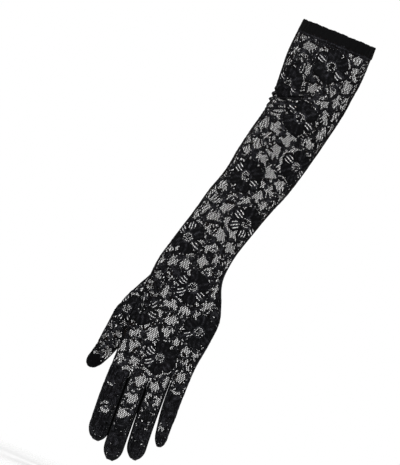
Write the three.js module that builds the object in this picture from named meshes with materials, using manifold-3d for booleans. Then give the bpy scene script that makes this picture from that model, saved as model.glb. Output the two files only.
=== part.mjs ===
import * as THREE from 'three';
import { mergeVertices } from 'three/addons/utils/BufferGeometryUtils.js';
import Module from 'manifold-3d';

// Long left evening glove of floral stretch lace, in the form it has on an arm.
// Millimetres. The origin is the middle of the arm opening and +Z points up out of it.
// The fingers hang down, +X is the little finger side, -Y the back of the hand, +Y the palm.

// Sleeve, from the arm opening to the heel of the hand
const cuffWidth = 70.6;
const cuffDepth = 60;
const armLength = 256;
const armLean = 44.7;
const armBow = 4;

// Hand, from its heel to the crotch between index and middle finger
const palmLength = 103;
const handBreadth = 75;
const handDepth = 30;

// Fingers
const middleFingerLength = 84.2;
const fingerGap = 0.7;
const fingerCurl = 14;
const fingerFlatness = 0.93;
const tipRounding = 0.7;

// Thumb, a tube that leaves the hand on its thumb side
const thumbDrop = 108;
const thumbReach = 39.5;
const thumbForward = 7;
const thumbWidth = 19.6;
const thumbFlatness = 0.9;
const thumbTip = 10;

// Cloth
const clothWall = 1.1;
const hemWidth = 11.5;
const hemWall = 2;
const hemEdge = 0.7;
const seamGap = 0.3;

// Gathers of the cloth in the bend of the elbow
const foldHeight = 1.3;
const foldPitch = 5.6;
const foldSlant = 22;
const elbowShare = 0.3;

// Strips between the fingers take up this angle each side of a finger's middle plane
const stripAngle = THREE.MathUtils.degToRad(36);

const facetsPerFinger = 5;
const thumbFacets = 14;

// Sleeve sections: down is a share of armLength, lean of armLean, width of cuffWidth,
// back and palm are half depths as shares of cuffDepth, bow is a share of armBow,
// square is 2 for an ellipse and more for a boxier ring
const armSections = [
  { down: 0, lean: 0, width: 1, back: 0.5, palm: 0.5, bow: 0, square: 2.05 },
  { down: 0.125, lean: 0.022, width: 1.028, back: 0.5, palm: 0.495, bow: -0.2, square: 2.05 },
  { down: 0.2, lean: 0.036, width: 0.99, back: 0.49, palm: 0.49, bow: -0.5, square: 2.05 },
  { down: 0.277, lean: 0.05, width: 0.94, back: 0.485, palm: 0.485, bow: -0.9, square: 2.1 },
  { down: 0.355, lean: 0.112, width: 0.905, back: 0.48, palm: 0.48, bow: -1, square: 2.1 },
  { down: 0.44, lean: 0.217, width: 0.909, back: 0.475, palm: 0.475, bow: -0.7, square: 2.1 },
  { down: 0.523, lean: 0.32, width: 0.898, back: 0.46, palm: 0.465, bow: -0.4, square: 2.1 },
  { down: 0.609, lean: 0.425, width: 0.86, back: 0.435, palm: 0.45, bow: -0.1, square: 2.15 },
  { down: 0.7, lean: 0.604, width: 0.84, back: 0.4, palm: 0.42, bow: 0, square: 2.2 },
  { down: 0.785, lean: 0.736, width: 0.816, back: 0.37, palm: 0.385, bow: 0, square: 2.2 },
  { down: 0.871, lean: 0.875, width: 0.807, back: 0.335, palm: 0.35, bow: 0, square: 2.25 },
  { down: 0.95, lean: 0.97, width: 0.84, back: 0.305, palm: 0.325, bow: 0, square: 2.3 },
];

// Hand sections: down is a share of palmLength, side and width are shares of handBreadth,
// back and palm are half depths as shares of handDepth
const handSections = [
  { down: 0, side: 0.005, width: 0.84, back: 0.58, palm: 0.63, square: 2.3 },
  { down: 0.155, side: 0.036, width: 0.935, back: 0.54, palm: 0.62, square: 2.35 },
  { down: 0.31, side: 0.06, width: 1.017, back: 0.51, palm: 0.6, square: 2.4 },
  { down: 0.485, side: 0.047, width: 1.02, back: 0.48, palm: 0.55, square: 2.4 },
  { down: 0.67, side: 0.028, width: 0.997, back: 0.44, palm: 0.48, square: 2.4 },
  { down: 0.82, side: 0.02, width: 0.977, back: 0.38, palm: 0.41, square: 2.4 },
  { down: 1.03, side: 0.024, width: 0.963, back: 0.3, palm: 0.32, square: 2.4 },
];

// Fingers from the thumb side: slot is a share of the breadth at the crotches, reach is how far the
// tip lies below palmLength and lean how far it swings out, both as shares of middleFingerLength,
// curl is a share of fingerCurl, crotch is the depth of the crotch on its far side as a share of
// palmLength, taper narrows it towards the tip
const fingers = [
  { name: 'index', slot: 0.265, reach: 0.855, lean: 0.01, curl: 0.8, crotch: 1, taper: 0.98 },
  { name: 'middle', slot: 0.258, reach: 1, lean: 0.036, curl: 1, crotch: 1.01, taper: 0.95 },
  { name: 'ring', slot: 0.256, reach: 0.897, lean: 0.05, curl: 1.05, crotch: 0.935, taper: 0.94 },
  { name: 'little', slot: 0.221, reach: 0.665, lean: 0.05, curl: 0.8, crotch: 0.95, taper: 0.88 },
];
const indexEdgeShare = 0.99;

// Steps along a finger: run is the share of its straight stretch, bend the angle round its tip
// and open the share of stripAngle that the side strip still takes up
const fingerSteps = [
  { run: 0.07, bend: 0, open: 1 },
  { run: 0.28, bend: 0, open: 1 },
  { run: 0.52, bend: 0, open: 1 },
  { run: 0.76, bend: 0, open: 1 },
  { run: 1, bend: 0, open: 1 },
  { run: 1, bend: 28, open: 0.95 },
  { run: 1, bend: 52, open: 0.8 },
  { run: 1, bend: 72, open: 0.6 },
];
const tipStep = { run: 1, bend: 90, open: 0 };
const tipSeamShare = 0.3;

// Thumb path: down is a share of thumbDrop, out of thumbReach, forward of thumbForward,
// width of thumbWidth
const thumbPath = [
  { down: 0, out: 0.04, forward: 0.8, width: 1.12 },
  { down: 0.167, out: 0.215, forward: 0.95, width: 1.24 },
  { down: 0.333, out: 0.45, forward: 1.05, width: 1.22 },
  { down: 0.49, out: 0.62, forward: 1.05, width: 1.12 },
  { down: 0.648, out: 0.7, forward: 1, width: 1 },
  { down: 0.787, out: 0.77, forward: 0.93, width: 0.92 },
  { down: 0.889, out: 0.858, forward: 0.86, width: 0.86 },
  { down: 1, out: 1, forward: 0.79, width: 0.84 },
];
const thumbRootDown = 0.058;
const thumbRootSide = 0.2;

// Rows of the cloth along the sleeve, as shares of armLength, outside the gathered stretch
const rowsAboveElbow = [0.085, 0.125, 0.165, 0.205];
const rowsBelowElbow = [0.43, 0.49, 0.55, 0.61, 0.67, 0.73, 0.79, 0.85, 0.905, 0.955];
const foldCount = 4;
const palmRows = [0, 0.12, 0.24, 0.36, 0.48, 0.6, 0.7, 0.79, 0.87, 0.94, 1];
const knuckleStart = 0.62;

// Each lace panel is parted across the sleeve at this share of armLength, at the heel of the hand
// and at the finger roots, with a seam gap between the parts
const sleeveCut = 0.52;

const wasm = await Module();
wasm.setup();

function mix(a, b, t) {
  return a + (b - a) * t;
}

function ease(t) {
  const c = Math.min(Math.max(t, 0), 1);
  return c * c * (3 - 2 * c);
}

// Smooth value through the rows of a table at one place down its length
function valueAt(rows, column, down) {
  const last = rows.length - 1;
  const found = rows.findIndex((row) => row.down > down);
  const i = found < 0 ? last - 1 : Math.max(found - 1, 0);
  const slope = (k) => {
    const a = rows[Math.max(k - 1, 0)];
    const b = rows[Math.min(k + 1, last)];
    return (b[column] - a[column]) / (b.down - a.down);
  };
  const span = rows[i + 1].down - rows[i].down;
  const t = Math.min((down - rows[i].down) / span, 1);
  const bulge = t * t * (3 - 2 * t);
  const start = t * (1 - t) * (1 - t) * span * slope(i);
  const end = t * t * (t - 1) * span * slope(i + 1);
  return mix(rows[i][column], rows[i + 1][column], bulge) + start + end;
}

const sections = [
  ...armSections.map((row) => ({
    down: row.down * armLength,
    x: -row.lean * armLean,
    y: row.bow * armBow,
    half: (row.width * cuffWidth) / 2,
    back: row.back * cuffDepth,
    palm: row.palm * cuffDepth,
    square: row.square,
  })),
  ...handSections.map((row) => ({
    down: armLength + row.down * palmLength,
    x: -armLean + row.side * handBreadth,
    y: 0,
    half: (row.width * handBreadth) / 2,
    back: row.back * handDepth,
    palm: row.palm * handDepth,
    square: row.square,
  })),
];

function sectionAt(down) {
  const section = {};
  for (const column of ['x', 'y', 'half', 'back', 'palm', 'square']) {
    section[column] = valueAt(sections, column, down);
  }
  return section;
}

// Gathers: waves that are strongest on the thumb side of the elbow and fade round the arm
const elbowDown = elbowShare * armLength;
const foldReach = foldCount * foldPitch;

function foldAt(rowDown, angle) {
  const along = (rowDown - elbowDown) / foldReach;
  const fade = Math.max(1 - along * along * 4, 0);
  const round = Math.pow(Math.cos(angle / 2), 2);
  return -foldHeight * fade * round * Math.cos((2 * Math.PI * (rowDown - elbowDown)) / foldPitch);
}

// The gathers climb towards the little finger side, so the rows of the sleeve climb with them
function climbAt(rowDown, angle) {
  const away = Math.abs(rowDown - elbowDown) / (elbowDown - hemWidth - seamGap);
  return foldSlant * (1 - ease(away)) * Math.pow(Math.sin(angle / 2), 2);
}

function ringPoint(down, angle, side, inset, swell = 0) {
  const s = sectionAt(down);
  const depth = side < 0 ? s.back : s.palm;
  const cos = Math.cos(angle);
  const sin = Math.sin(angle);
  const power = 2 / s.square;
  const x = s.x - (s.half - inset + swell) * Math.sign(cos) * Math.pow(Math.abs(cos), power);
  const y = s.y + side * (seamGap / 2 + (depth - inset + swell) * Math.pow(Math.abs(sin), power));
  return new THREE.Vector3(x, y, -down);
}

// Column places across a panel, from the thumb side to the little finger side
const columns = fingers.length * facetsPerFinger;
const crotchSection = sectionAt(armLength + palmLength);
const slotEdges = [0];
for (const finger of fingers) {
  slotEdges.push(slotEdges[slotEdges.length - 1] + finger.slot);
}
const breadth = slotEdges[slotEdges.length - 1];

function slotPlace(share) {
  return crotchSection.x + crotchSection.half * ((2 * share) / breadth - 1);
}

// How far below the arm opening the finger roots lie, at each edge of the four slots
const rootDowns = [
  indexEdgeShare,
  ...fingers.map((finger) => finger.crotch),
].map((share) => armLength + share * palmLength);

fingers.forEach((finger, i) => {
  finger.left = slotPlace(slotEdges[i]);
  finger.right = slotPlace(slotEdges[i + 1]);
  finger.x = (finger.left + finger.right) / 2;
  finger.half = (finger.right - finger.left - fingerGap) / 2;
  finger.depth = finger.half * fingerFlatness;
  finger.round = finger.half * 2 * tipRounding;
  finger.tipDown = armLength + palmLength + finger.reach * middleFingerLength;
  finger.swing = finger.lean * middleFingerLength;
  finger.leftRoot = rootDowns[i];
  finger.rightRoot = rootDowns[i + 1];
  finger.leftOpen = i > 0 ? 1 : 0;
  finger.rightOpen = i < fingers.length - 1 ? 1 : 0;
});

// One ring of a finger at a step along it; across runs from 0 at its thumb side to 1
function fingerRing(finger, step, across, inset) {
  const root = mix(finger.leftRoot, finger.rightRoot, across);
  const bend = THREE.MathUtils.degToRad(step.bend);
  const straightEnd = finger.tipDown - finger.round;
  const down = mix(root, straightEnd, step.run) + (finger.round - inset) * Math.sin(bend);
  const share = (down - root) / (finger.tipDown - root);
  const narrowing = mix(1, finger.taper, ease(share));
  const isTip = step.bend >= tipStep.bend;
  const halfShare = isTip ? tipSeamShare : Math.cos(bend);
  const depthShare = isTip ? 0 : Math.cos(bend);
  return {
    down,
    x: finger.x + finger.swing * share * share,
    y: crotchSection.y + finger.curl * fingerCurl * share * share,
    half: (finger.half * narrowing - inset) * halfShare,
    depth: (finger.depth * narrowing - inset) * depthShare,
  };
}

function fingerPoint(finger, step, column, side, inset) {
  const across = column / facetsPerFinger;
  const ring = fingerRing(finger, step, across, inset);
  const first = stripAngle * step.open * finger.leftOpen;
  const last = Math.PI - stripAngle * step.open * finger.rightOpen;
  const angle = mix(first, last, across);
  const x = ring.x - ring.half * Math.cos(angle);
  const y = ring.y + side * (seamGap / 2 + ring.depth * Math.sin(angle));
  return new THREE.Vector3(x, y, -ring.down);
}

// Where two fingers part, their edges meet in one point on the slot's edge
function crotchPoint(edge, side, inset) {
  const finger = fingers[edge - 1];
  const y = crotchSection.y + side * (seamGap / 2 + finger.depth * Math.sin(stripAngle) - inset);
  return new THREE.Vector3(finger.right, y, -finger.rightRoot);
}

function rootPoint(column, side, inset) {
  const edge = column / facetsPerFinger;
  if (Number.isInteger(edge) && edge > 0 && edge < fingers.length) {
    return crotchPoint(edge, side, inset);
  }
  const index = Math.min(Math.floor(edge), fingers.length - 1);
  const rootStep = { run: 0, bend: 0, open: 1 };
  return fingerPoint(fingers[index], rootStep, column - index * facetsPerFinger, side, inset);
}

// Angle of a column round the ring: even round the arm, by finger slots on the hand
function columnAngle(column, handShare) {
  const even = (Math.PI * column) / columns;
  const index = Math.min(Math.floor(column / facetsPerFinger), fingers.length - 1);
  const within = column / facetsPerFinger - index;
  const share = mix(slotEdges[index], slotEdges[index + 1], within) / breadth;
  return mix(even, Math.acos(1 - 2 * share), handShare);
}

function armPoint(rowDown, column, side, inset) {
  const handShare = ease(rowDown / armLength - 0.5);
  const angle = columnAngle(column, handShare);
  const down = rowDown - climbAt(rowDown, angle);
  return ringPoint(down, angle, side, inset, foldAt(rowDown, angle));
}

function handPoint(share, column, side, inset) {
  const root = -rootPoint(column, side, 0).z;
  const angle = columnAngle(column, mix(0.5, 1, ease(share * 2)));
  const onHand = ringPoint(mix(armLength, root, share), angle, side, inset);
  const onFingers = rootPoint(column, side, inset);
  onFingers.z = onHand.z;
  return onHand.lerp(onFingers, ease((share - knuckleStart) / (1 - knuckleStart)));
}

const foldRows = [];
for (let i = -foldCount; i <= foldCount; i += 1) {
  foldRows.push(elbowDown + (i * foldPitch) / 2);
}
const sleeveRows = [
  hemWidth + seamGap,
  ...rowsAboveElbow.map((share) => share * armLength),
  ...foldRows,
  ...rowsBelowElbow.map((share) => share * armLength),
];

// A closed solid from patches of cloth. Each patch is a grid of outer and inner points, patches
// share the points where they meet, and the free edges get a rim.
function clothSolid(patches) {
  const points = [];
  const inners = [];
  const seen = new Map();
  const keep = ({ outer, inner }) => {
    const key = outer.toArray().map((value) => value.toFixed(4)).join();
    if (!seen.has(key)) {
      seen.set(key, points.length);
      points.push(outer);
      inners.push(inner);
    }
    return seen.get(key);
  };
  const faces = [];
  for (const patch of patches) {
    const grid = patch.map((row) => row.map(keep));
    for (let r = 0; r + 1 < grid.length; r += 1) {
      for (let c = 0; c + 1 < grid[r].length; c += 1) {
        const [a, b] = [grid[r][c], grid[r][c + 1]];
        const [d, e] = [grid[r + 1][c], grid[r + 1][c + 1]];
        faces.push([a, d, b], [b, d, e]);
      }
    }
  }
  const count = points.length;
  const edges = new Set();
  for (const [a, b, c] of faces) {
    edges.add(`${a},${b}`).add(`${b},${c}`).add(`${c},${a}`);
  }
  const triangles = [];
  for (const [a, b, c] of faces) {
    triangles.push([a, b, c], [a + count, c + count, b + count]);
    for (const [from, to] of [[a, b], [b, c], [c, a]]) {
      if (!edges.has(`${to},${from}`)) {
        triangles.push([to, from, from + count], [to, from + count, to + count]);
      }
    }
  }
  return closedGeometry([...points, ...inners], triangles);
}

// Geometry of a closed surface, turned inside out where its volume comes out negative
function closedGeometry(points, triangles) {
  const geometry = new THREE.BufferGeometry();
  const values = points.flatMap((point) => point.toArray());
  let volume = 0;
  for (const [a, b, c] of triangles) {
    volume += points[a].dot(new THREE.Vector3().crossVectors(points[b], points[c]));
  }
  const faces = volume < 0 ? triangles.map(([a, b, c]) => [a, c, b]) : triangles;
  geometry.setAttribute('position', new THREE.Float32BufferAttribute(values, 3));
  geometry.setIndex(faces.flat());
  return geometry;
}

// A closed solid through rings of equal length, with a cap at each end
function loft(rings) {
  const sides = rings[0].length;
  const points = rings.flat();
  const triangles = [];
  for (let r = 0; r + 1 < rings.length; r += 1) {
    for (let c = 0; c < sides; c += 1) {
      const next = (c + 1) % sides;
      const [a, b] = [r * sides + c, r * sides + next];
      triangles.push([a, a + sides, b], [b, a + sides, b + sides]);
    }
  }
  const capped = [[rings[0], 0, 1], [rings[rings.length - 1], (rings.length - 1) * sides, -1]];
  for (const [ring, start, turn] of capped) {
    const middle = ring.reduce((sum, point) => sum.add(point), new THREE.Vector3()).divideScalar(sides);
    const centre = points.push(middle) - 1;
    for (let c = 0; c < sides; c += 1) {
      const next = (c + 1) % sides;
      const edge = turn > 0 ? [start + c, start + next] : [start + next, start + c];
      triangles.push([centre, ...edge]);
    }
  }
  return closedGeometry(points, triangles);
}

function toManifold(geometry) {
  const merged = mergeVertices(geometry, 1e-5);
  return new wasm.Manifold(new wasm.Mesh({
    numProp: 3,
    vertProperties: new Float32Array(merged.attributes.position.array),
    triVerts: new Uint32Array(merged.index.array),
  }));
}

function toGeometry(solid) {
  const mesh = solid.getMesh();
  const geometry = new THREE.BufferGeometry();
  geometry.setAttribute('position', new THREE.BufferAttribute(mesh.vertProperties, 3));
  geometry.setIndex(new THREE.BufferAttribute(mesh.triVerts, 1));
  return geometry;
}

// The parts of one lace panel by name: two of the sleeve, one of the hand and one for each finger
function panelParts(side) {
  const point = (place) => ({ outer: place(0), inner: place(clothWall) });
  const every = Array.from({ length: columns + 1 }, (_, column) => column);
  const sleevePart = (downs) => clothSolid([downs.map((down) => every.map(
    (column) => point((inset) => armPoint(down, column, side, inset)),
  ))]);
  const cut = sleeveCut * armLength;
  const halfGap = seamGap / 2;
  const handShares = [halfGap / palmLength, ...palmRows.slice(1)];
  const parts = {
    upper_sleeve: sleevePart([...sleeveRows.filter((down) => down < cut), cut - halfGap]),
    lower_sleeve: sleevePart([
      cut + halfGap,
      ...sleeveRows.filter((down) => down > cut),
      armLength - halfGap,
    ]),
    hand: clothSolid([handShares.map((share) => every.map(
      (column) => point((inset) => handPoint(share, column, side, inset)),
    ))]),
  };
  fingers.forEach((finger, index) => {
    const own = every.slice(0, facetsPerFinger + 1);
    const fingerRow = (step) => own.map(
      (column) => point((inset) => fingerPoint(finger, step, column, side, inset)),
    );
    const roots = own.map((column) => point((inset) => {
      const root = handPoint(1, index * facetsPerFinger + column, side, inset);
      const next = fingerPoint(finger, fingerSteps[0], column, side, inset);
      return root.lerp(next, seamGap / root.distanceTo(next));
    }));
    parts[finger.name] = clothSolid([[roots, ...[...fingerSteps, tipStep].map(fingerRow)]]);
  });
  return parts;
}

// A strip that lines the facing sides of two fingers and turns round the crotch between them
function fourchetteSolid(edge) {
  const across = [-1, -0.5, 0, 0.5, 1];
  const near = fingers[edge - 1];
  const far = fingers[edge];
  const sidePoint = (finger, step, share, inset) => {
    const towards = finger === near ? 1 : -1;
    const ring = fingerRing(finger, step, finger === near ? 1 : 0, inset);
    const angle = share * (stripAngle * step.open - (seamGap / 2) / finger.depth / Math.cos(stripAngle));
    const x = ring.x + towards * ring.half * Math.cos(angle);
    return new THREE.Vector3(x, ring.y + ring.depth * Math.sin(angle), -ring.down);
  };
  const bottomPoint = (share, inset) => {
    const edgePoint = crotchPoint(edge, 1, clothWall + seamGap);
    const y = crotchSection.y + share * (edgePoint.y - crotchSection.y);
    return new THREE.Vector3(edgePoint.x, y, edgePoint.z + inset);
  };
  const row = (place) => across.map((share) => ({ outer: place(share, 0), inner: place(share, clothWall) }));
  const nearRows = fingerSteps.map((step) => row((share, inset) => sidePoint(near, step, share, inset)));
  const farRows = fingerSteps.map((step) => row((share, inset) => sidePoint(far, step, share, inset)));
  return clothSolid([[...nearRows.reverse(), row(bottomPoint), ...farRows]]);
}

// Closed solid of the hand's outside, a seam gap larger, that the thumb's root is cut back to
function handBody() {
  const every = Array.from({ length: columns + 1 }, (_, column) => column);
  const ringOf = (place) => [
    ...every.map((column) => place(column, -1)),
    ...every.map((column) => place(columns - column, 1)),
  ];
  const fromSleeve = sleeveRows.slice(-4).map((down) => ringOf(
    (column, side) => armPoint(down, column, side, -seamGap),
  ));
  const fromHand = palmRows.map((share) => ringOf(
    (column, side) => handPoint(share, column, side, -seamGap),
  ));
  return toManifold(loft([...fromSleeve, ...fromHand]));
}

// The thumb as a full tube; inset makes it smaller all round, for its hollow
function thumbBody(inset) {
  const rootX = sectionAt(armLength).x - thumbRootSide * handBreadth;
  const rootDown = armLength + thumbRootDown * palmLength;
  const places = thumbPath.map((row) => new THREE.Vector3(
    rootX - row.out * thumbReach,
    row.forward * thumbForward,
    -rootDown - row.down * thumbDrop,
  ));
  const curve = new THREE.CatmullRomCurve3(places, false, 'centripetal');
  const length = curve.getLength();
  const straight = 1 - thumbTip / length;
  const stops = [0, 0.14, 0.28, 0.42, 0.56, 0.7, 0.84, 1].map((share) => ({ at: share * straight, bend: 0 }));
  for (const bend of [26, 48, 66, 80]) {
    const turn = THREE.MathUtils.degToRad(bend);
    stops.push({ at: straight + ((thumbTip - inset) * Math.sin(turn)) / length, bend: turn });
  }
  const rings = stops.map(({ at, bend }) => {
    const centre = curve.getPointAt(at);
    const along = curve.getTangentAt(at);
    const depthWay = new THREE.Vector3(0, 1, 0).addScaledVector(along, -along.y).normalize();
    const widthWay = new THREE.Vector3().crossVectors(along, depthWay);
    const width = valueAt(thumbPath, 'width', at) * thumbWidth;
    const half = (width / 2 - inset) * Math.cos(bend);
    const depth = ((width * thumbFlatness) / 2 - inset) * Math.cos(bend);
    return Array.from({ length: thumbFacets }, (_, i) => {
      const angle = (2 * Math.PI * i) / thumbFacets;
      return centre.clone()
        .addScaledVector(widthWay, half * Math.cos(angle))
        .addScaledVector(depthWay, depth * Math.sin(angle));
    });
  });
  return toManifold(loft(rings));
}

// Plain doubled band round the arm opening, with its edges rounded off
function hemSolid() {
  const profile = [
    { inset: hemEdge, down: 0 },
    { inset: 0, down: hemEdge },
    { inset: 0, down: hemWidth - hemEdge },
    { inset: hemEdge, down: hemWidth },
    { inset: hemWall, down: hemWidth },
    { inset: hemWall, down: 0 },
  ];
  const points = [];
  for (let c = 0; c < columns * 2; c += 1) {
    const side = c < columns ? -1 : 1;
    const angle = (Math.PI * (c < columns ? c : columns * 2 - c)) / columns;
    for (const { inset, down } of profile) {
      const point = ringPoint(down, angle, side, inset);
      point.y -= (side * seamGap) / 2;
      points.push(point);
    }
  }
  const triangles = [];
  const around = profile.length;
  for (let c = 0; c < columns * 2; c += 1) {
    const next = (c + 1) % (columns * 2);
    for (let k = 0; k < around; k += 1) {
      const up = (k + 1) % around;
      const [a, b] = [c * around + k, next * around + k];
      const [d, e] = [c * around + up, next * around + up];
      triangles.push([a, b, d], [b, e, d]);
    }
  }
  return closedGeometry(points, triangles);
}

const lace = { color: 0x1c1b1e, roughness: 0.82, metalness: 0 };
const plainKnit = { color: 0x121214, roughness: 0.88, metalness: 0 };

const glove = new THREE.Group();

function addPiece(name, geometry, finish) {
  const mesh = new THREE.Mesh(geometry, new THREE.MeshStandardMaterial(finish));
  mesh.name = name;
  glove.add(mesh);
}

const thumbHollow = thumbBody(clothWall);
const thumbCloth = thumbBody(0).subtract(thumbHollow).subtract(handBody());

addPiece('hem_band', hemSolid(), plainKnit);
for (const [sideName, side] of [['back', -1], ['palm', 1]]) {
  for (const [part, geometry] of Object.entries(panelParts(side))) {
    const isHand = part === 'hand';
    const cloth = isHand ? toGeometry(toManifold(geometry).subtract(thumbHollow)) : geometry;
    addPiece(`${part}_${sideName}`, cloth, lace);
  }
}
addPiece('thumb', toGeometry(thumbCloth), lace);
for (let edge = 1; edge < fingers.length; edge += 1) {
  const name = `fourchette_${fingers[edge - 1].name}_${fingers[edge].name}`;
  addPiece(name, fourchetteSolid(edge), plainKnit);
}

export default glove;
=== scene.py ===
import math

import bpy
import numpy as np
from mathutils import Matrix, Vector
from mathutils.geometry import delaunay_2d_cdt


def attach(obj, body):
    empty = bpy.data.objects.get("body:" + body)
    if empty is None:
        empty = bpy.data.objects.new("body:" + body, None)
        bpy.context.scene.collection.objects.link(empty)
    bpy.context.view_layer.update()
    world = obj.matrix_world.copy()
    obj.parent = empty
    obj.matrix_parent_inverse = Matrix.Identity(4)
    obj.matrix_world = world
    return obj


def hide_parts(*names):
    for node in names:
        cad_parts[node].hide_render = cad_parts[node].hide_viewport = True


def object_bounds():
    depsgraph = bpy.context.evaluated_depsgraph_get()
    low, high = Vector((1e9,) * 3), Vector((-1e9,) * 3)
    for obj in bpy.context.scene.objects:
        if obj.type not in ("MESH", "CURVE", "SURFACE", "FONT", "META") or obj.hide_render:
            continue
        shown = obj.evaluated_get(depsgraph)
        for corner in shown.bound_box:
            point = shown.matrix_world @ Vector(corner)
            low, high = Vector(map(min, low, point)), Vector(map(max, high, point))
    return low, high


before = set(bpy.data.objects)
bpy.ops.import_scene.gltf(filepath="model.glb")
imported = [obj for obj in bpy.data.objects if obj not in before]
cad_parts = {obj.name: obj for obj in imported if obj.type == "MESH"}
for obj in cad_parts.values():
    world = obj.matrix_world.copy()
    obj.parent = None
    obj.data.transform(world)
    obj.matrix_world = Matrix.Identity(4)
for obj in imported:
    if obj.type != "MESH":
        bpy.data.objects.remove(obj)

bl_info = {
    "name": "Lace evening glove",
    "version": (1, 0, 0),
    "blender": (4, 5, 0),
    "location": "View3D > Sidebar > Glove",
    "description": "Floral net lace, knit trims and seams for a long evening glove",
    "category": "Object",
}

CAD_BOX = [list(corner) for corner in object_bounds()]

# Millimetres to Blender's metres, and metres to millimetres
MM = 0.001
TO_MM = 1000

# Driving sizes of the glove in millimetres, as in the solids
CUFF_WIDTH = 70.6
CUFF_DEPTH = 60.0
ARM_LENGTH = 256.0
ARM_LEAN = 44.7
ARM_BOW = 4.0
PALM_LENGTH = 103.0
HAND_BREADTH = 75.0
HAND_DEPTH = 30.0
MIDDLE_LENGTH = 84.2
FINGER_GAP = 0.7
FINGER_CURL = 14.0
FINGER_FLATNESS = 0.93
TIP_ROUNDING = 0.7
TIP_SEAM = 0.3
THUMB_DROP = 108.0
THUMB_REACH = 39.5
THUMB_FORWARD = 7.0
THUMB_WIDTH = 19.6
THUMB_FLATNESS = 0.9
THUMB_TIP = 10.0
THUMB_ROOT_DOWN = 0.058
THUMB_ROOT_SIDE = 0.2
CLOTH_WALL = 1.1
HEM_WIDTH = 11.5
HEM_WALL = 2.0
HEM_EDGE = 0.7
SEAM_GAP = 0.3
KNUCKLE_START = 0.62
STRIP_ANGLE = math.radians(36)
FACETS = 5
COLUMNS = 20

# down, lean, width, back, palm, bow, square
ARM_SECTIONS = np.array([
    (0, 0, 1, 0.5, 0.5, 0, 2.05),
    (0.125, 0.022, 1.028, 0.5, 0.495, -0.2, 2.05),
    (0.2, 0.036, 0.99, 0.49, 0.49, -0.5, 2.05),
    (0.277, 0.05, 0.94, 0.485, 0.485, -0.9, 2.1),
    (0.355, 0.112, 0.905, 0.48, 0.48, -1, 2.1),
    (0.44, 0.217, 0.909, 0.475, 0.475, -0.7, 2.1),
    (0.523, 0.32, 0.898, 0.46, 0.465, -0.4, 2.1),
    (0.609, 0.425, 0.86, 0.435, 0.45, -0.1, 2.15),
    (0.7, 0.604, 0.84, 0.4, 0.42, 0, 2.2),
    (0.785, 0.736, 0.816, 0.37, 0.385, 0, 2.2),
    (0.871, 0.875, 0.807, 0.335, 0.35, 0, 2.25),
    (0.95, 0.97, 0.84, 0.305, 0.325, 0, 2.3),
])
# down, side, width, back, palm, square
HAND_SECTIONS = np.array([
    (0, 0.005, 0.84, 0.58, 0.63, 2.3),
    (0.155, 0.036, 0.935, 0.54, 0.62, 2.35),
    (0.31, 0.06, 1.017, 0.51, 0.6, 2.4),
    (0.485, 0.047, 1.02, 0.48, 0.55, 2.4),
    (0.67, 0.028, 0.997, 0.44, 0.48, 2.4),
    (0.82, 0.02, 0.977, 0.38, 0.41, 2.4),
    (1.03, 0.024, 0.963, 0.3, 0.32, 2.4),
])
# slot, reach, lean, curl, crotch, taper
FINGER_TABLE = {
    "index": (0.265, 0.855, 0.01, 0.8, 1, 0.98),
    "middle": (0.258, 1, 0.036, 1, 1.01, 0.95),
    "ring": (0.256, 0.897, 0.05, 1.05, 0.935, 0.94),
    "little": (0.221, 0.665, 0.05, 0.8, 0.95, 0.88),
}
INDEX_EDGE = 0.99
# down, out, forward, width
THUMB_PATH = np.array([
    (0, 0.04, 0.8, 1.12),
    (0.167, 0.215, 0.95, 1.24),
    (0.333, 0.45, 1.05, 1.22),
    (0.49, 0.62, 1.05, 1.12),
    (0.648, 0.7, 1, 1),
    (0.787, 0.77, 0.93, 0.92),
    (0.889, 0.858, 0.86, 0.86),
    (1, 1, 0.79, 0.84),
])
# How far a strip's edges stand apart round a fingertip: degrees of the rounding, and share
STRIP_OPENING = ([0, 28, 52, 72, 90], [1, 0.95, 0.8, 0.6, 0])

# Gathers in the bend of the elbow, whose main folds are those of the solids
FOLD_HEIGHT = 1.3
FOLD_PITCH = 5.6
FOLD_SLANT = 22.0
ELBOW_DOWN = 0.3 * ARM_LENGTH
FOLD_REACH = 4 * FOLD_PITCH
CREASE_HEIGHT = 0.42
CREASE_PITCH = 3.3
CREASE_DOWN = 88.0
CREASE_REACH = 17.0
# Rounds of the search for the row that a place on the slanting folds belongs to
CLIMB_ROUNDS = 14

# How the soft fingers close up inside the solids' space: their sides swell a little towards
# each other, the first finger leans like the second, and the little finger and thumb taper
PRESS = 0.45
PRESS_RISE = 2.5
PRESS_LEAN = 0.036
TIP_SLIMMING = 0.2
SLIM_FROM = 0.4
LITTLE = 3
THUMB_SLIM_FROM, THUMB_SLIM_REACH = 0.7, 0.3
# How the root of a finger blends into the hand: down the finger, and in from each side
ROOT_BLEND_DOWN = 0.07
ROOT_BLEND_ACROSS = 0.2

# Where the hand's flat chart ends and the flat charts of the fingers begin
SPLIT_DOWN = ARM_LENGTH + 0.935 * PALM_LENGTH
# How far the lace runs on under the hem band
HEM_TUCK = 2
# Rows and columns of the flat charts
ROW_STEP = 0.6
PANEL_STEPS, PANEL_WIDTH = 240, 140
FINGER_STEPS = 40
THUMB_STEPS, THUMB_ROWS, THUMB_TIP_ROWS = 60, 130, 14
CURVE_STEPS = 80
# How far past a chart's edge a flat place still counts as on it
EDGE_SLACK = 0.02
# The thumb is looked for below and outwards of its root, with so much margin, and for so many
# points at a time
THUMB_NEAR = 14
BATCH = 20000
# How deep the panels reach into the thumb, and how much of its tube lies inside the hand
THUMB_OVERLAP = 0.4
THUMB_HIDDEN = 20

# Kinds of lace, in the order of a lace piece's materials: worked motif, net, close lace
MOTIF, NET, DENSE = 0, 1, 2
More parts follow.
